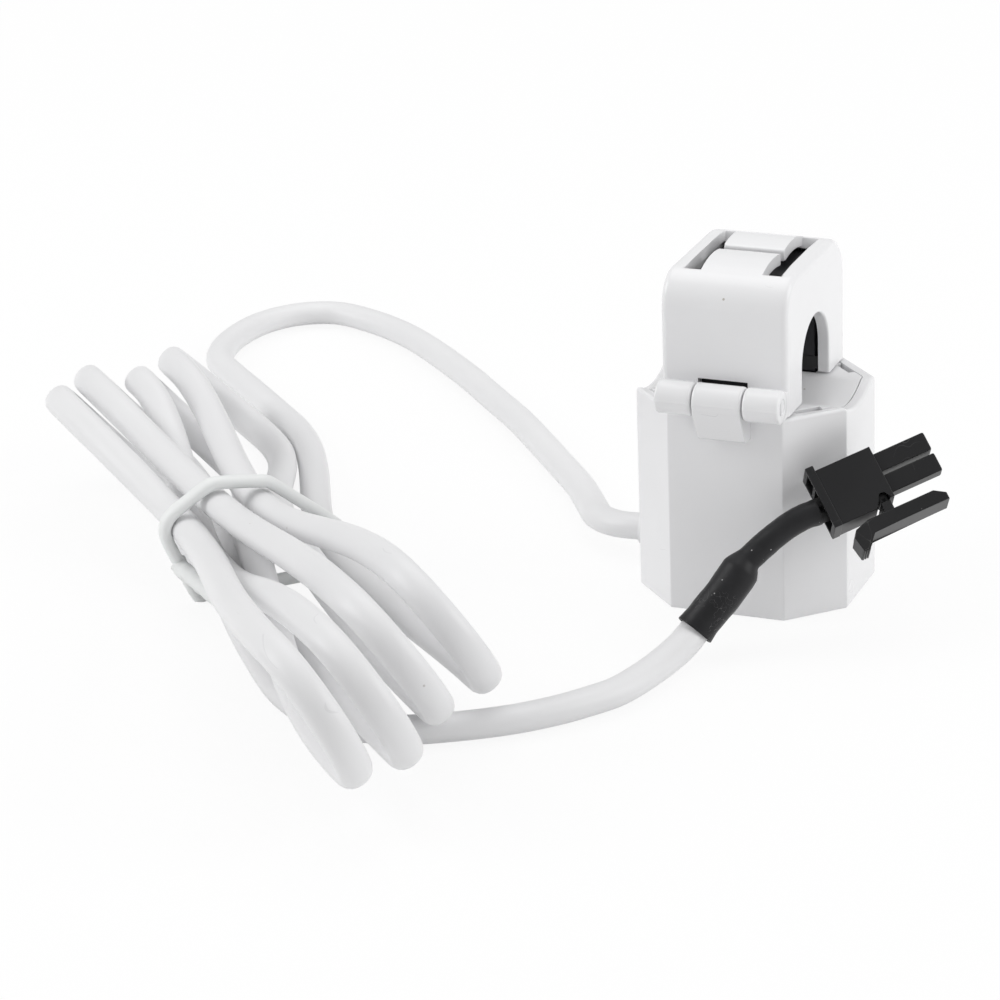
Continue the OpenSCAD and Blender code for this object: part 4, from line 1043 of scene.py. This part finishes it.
def make_lever():
    """Latch lever with its bevelled tip, ridged thumb pad, post and round pivot."""
    bm = bmesh.new()
    arm = [(4.2, -4.9), (13.25, -4.9), (14.65, -5.8), (14.65, -6.7), (4.2, -6.7), (3.0, -8.3), (2.0, -8.3),
           (1.7, -6.4), (2.3, -5.5)]
    add_prism(bm, arm, -2.1, 2.1, edge=0.13)
    for along in (2.08, 2.4, 2.72):
        add_block(bm, (-1.9, along, -8.44), (1.9, along + 0.2, -8.1), edge=0.05)
    add_block(bm, (-2.08, 6.6, -5.8), (2.08, 7.9, -3.72), edge=0.12)
    add_block(bm, (-PIVOT_HALF, 6.95, -4.9), (PIVOT_HALF, 7.55, PIVOT_ACROSS), edge=0.05)
    turns = [math.pi * k / 10 for k in range(20)]
    pivot = [(PIVOT_ALONG + PIVOT_R * math.cos(a), PIVOT_ACROSS + PIVOT_R * math.sin(a)) for a in turns]
    add_prism(bm, pivot, -PIVOT_HALF, PIVOT_HALF, edge=0.06)
    seat_plug(bm)
    return settle("latch_lever", bm, "latch", "black_nylon", NYLON, "connector_latch")


make_case()
plug = make_plug()
lever = make_lever()
make_lid()
make_cover()


# Core, shoes and the pieces inside keep their solids, with their own finishes

SOLID_FINISHES = {
    "hinge_pin": PIN, "upper_core": CORE, "lower_core": CORE, "core_shoes": SHOES, "coil_bobbin": BOBBIN,
    "secondary_winding": COPPER, "winding_tape": TAPE, "burden_board": BOARD, "burden_resistor": RESISTOR,
    "suppressor": SUPPRESSOR, "inner_leads": RED_WIRE, "cable_gland": GLAND, "connector_wires": BLACK_WIRE,
    "crimp_terminals": CONTACT,
}
for name, finish in SOLID_FINISHES.items():
    for slot in nodes[name].material_slots:
        slot.material = finish


# Floor, surround and soft studio lamps

FLOOR_HALF = 3.0
FLOOR_DROP = 0.0001
LAMP_AIM = Vector((0, 0, 0.02))


def make_floor():
    """White floor that catches soft shadows and is nearly as bright as the backdrop."""
    finish = bpy.data.materials.new("studio_floor")
    finish.use_nodes = True
    tree = finish.node_tree
    tree.nodes.clear()
    out = add(tree, "ShaderNodeOutputMaterial")
    paper = add(tree, "ShaderNodeBsdfDiffuse", {"Color": (0.9, 0.9, 0.9, 1)})
    glow = add(tree, "ShaderNodeEmission", {"Strength": 1})
    seen = add(tree, "ShaderNodeLightPath")
    either = add(tree, "ShaderNodeMath", operation="MAXIMUM")
    share = add(tree, "ShaderNodeMath", {1: 0.9}, operation="MULTIPLY")
    mix = add(tree, "ShaderNodeMixShader")
    wire(tree, (seen, "Is Camera Ray", either, 0), (seen, "Is Glossy Ray", either, 1),
         (either, "Value", share, 0), (share, "Value", mix, "Fac"),
         (paper, "BSDF", mix, 1), (glow, "Emission", mix, 2), (mix, "Shader", out, "Surface"))
    bm = bmesh.new()
    bmesh.ops.create_grid(bm, x_segments=4, y_segments=4, size=FLOOR_HALF)
    mesh = bpy.data.meshes.new("studio_floor")
    bm.to_mesh(mesh)
    bm.free()
    mesh.materials.append(finish)
    floor = bpy.data.objects.new("studio_floor", mesh)
    floor.location.z = -FLOOR_DROP
    scene.collection.objects.link(floor)


def make_surround():
    """White backdrop for the camera and a softer light for the part."""
    world = bpy.data.worlds.new("studio_surround")
    scene.world = world
    world.use_nodes = True
    tree = world.node_tree
    light = tree.nodes["Background"]
    light.inputs["Color"].default_value = (1, 1, 1, 1)
    light.inputs["Strength"].default_value = 0.52
    white = add(tree, "ShaderNodeBackground", {"Strength": 1})
    seen = add(tree, "ShaderNodeLightPath")
    mix = add(tree, "ShaderNodeMixShader")
    wire(tree, (seen, "Is Camera Ray", mix, "Fac"), (light, "Background", mix, 1),
         (white, "Background", mix, 2), (mix, "Shader", tree.nodes["World Output"], "Surface"))


def soft_lamp(name, place, size, power):
    data = bpy.data.lights.new(name, "AREA")
    data.shape = "RECTANGLE"
    data.size, data.size_y = size
    data.energy = power
    lamp = bpy.data.objects.new(name, data)
    lamp.location = place
    lamp.rotation_euler = (Vector(place) - LAMP_AIM).to_track_quat("Z", "Y").to_euler()
    scene.collection.objects.link(lamp)


make_floor()
make_surround()
soft_lamp("lamp_right", (0.75, 0.15, 0.45), (0.6, 0.6), power=3.0)
soft_lamp("lamp_top", (-0.1, 0.25, 0.9), (0.8, 0.8), power=2.5)
soft_lamp("lamp_left", (-0.7, -0.3, 0.5), (0.5, 0.5), power=2.8)
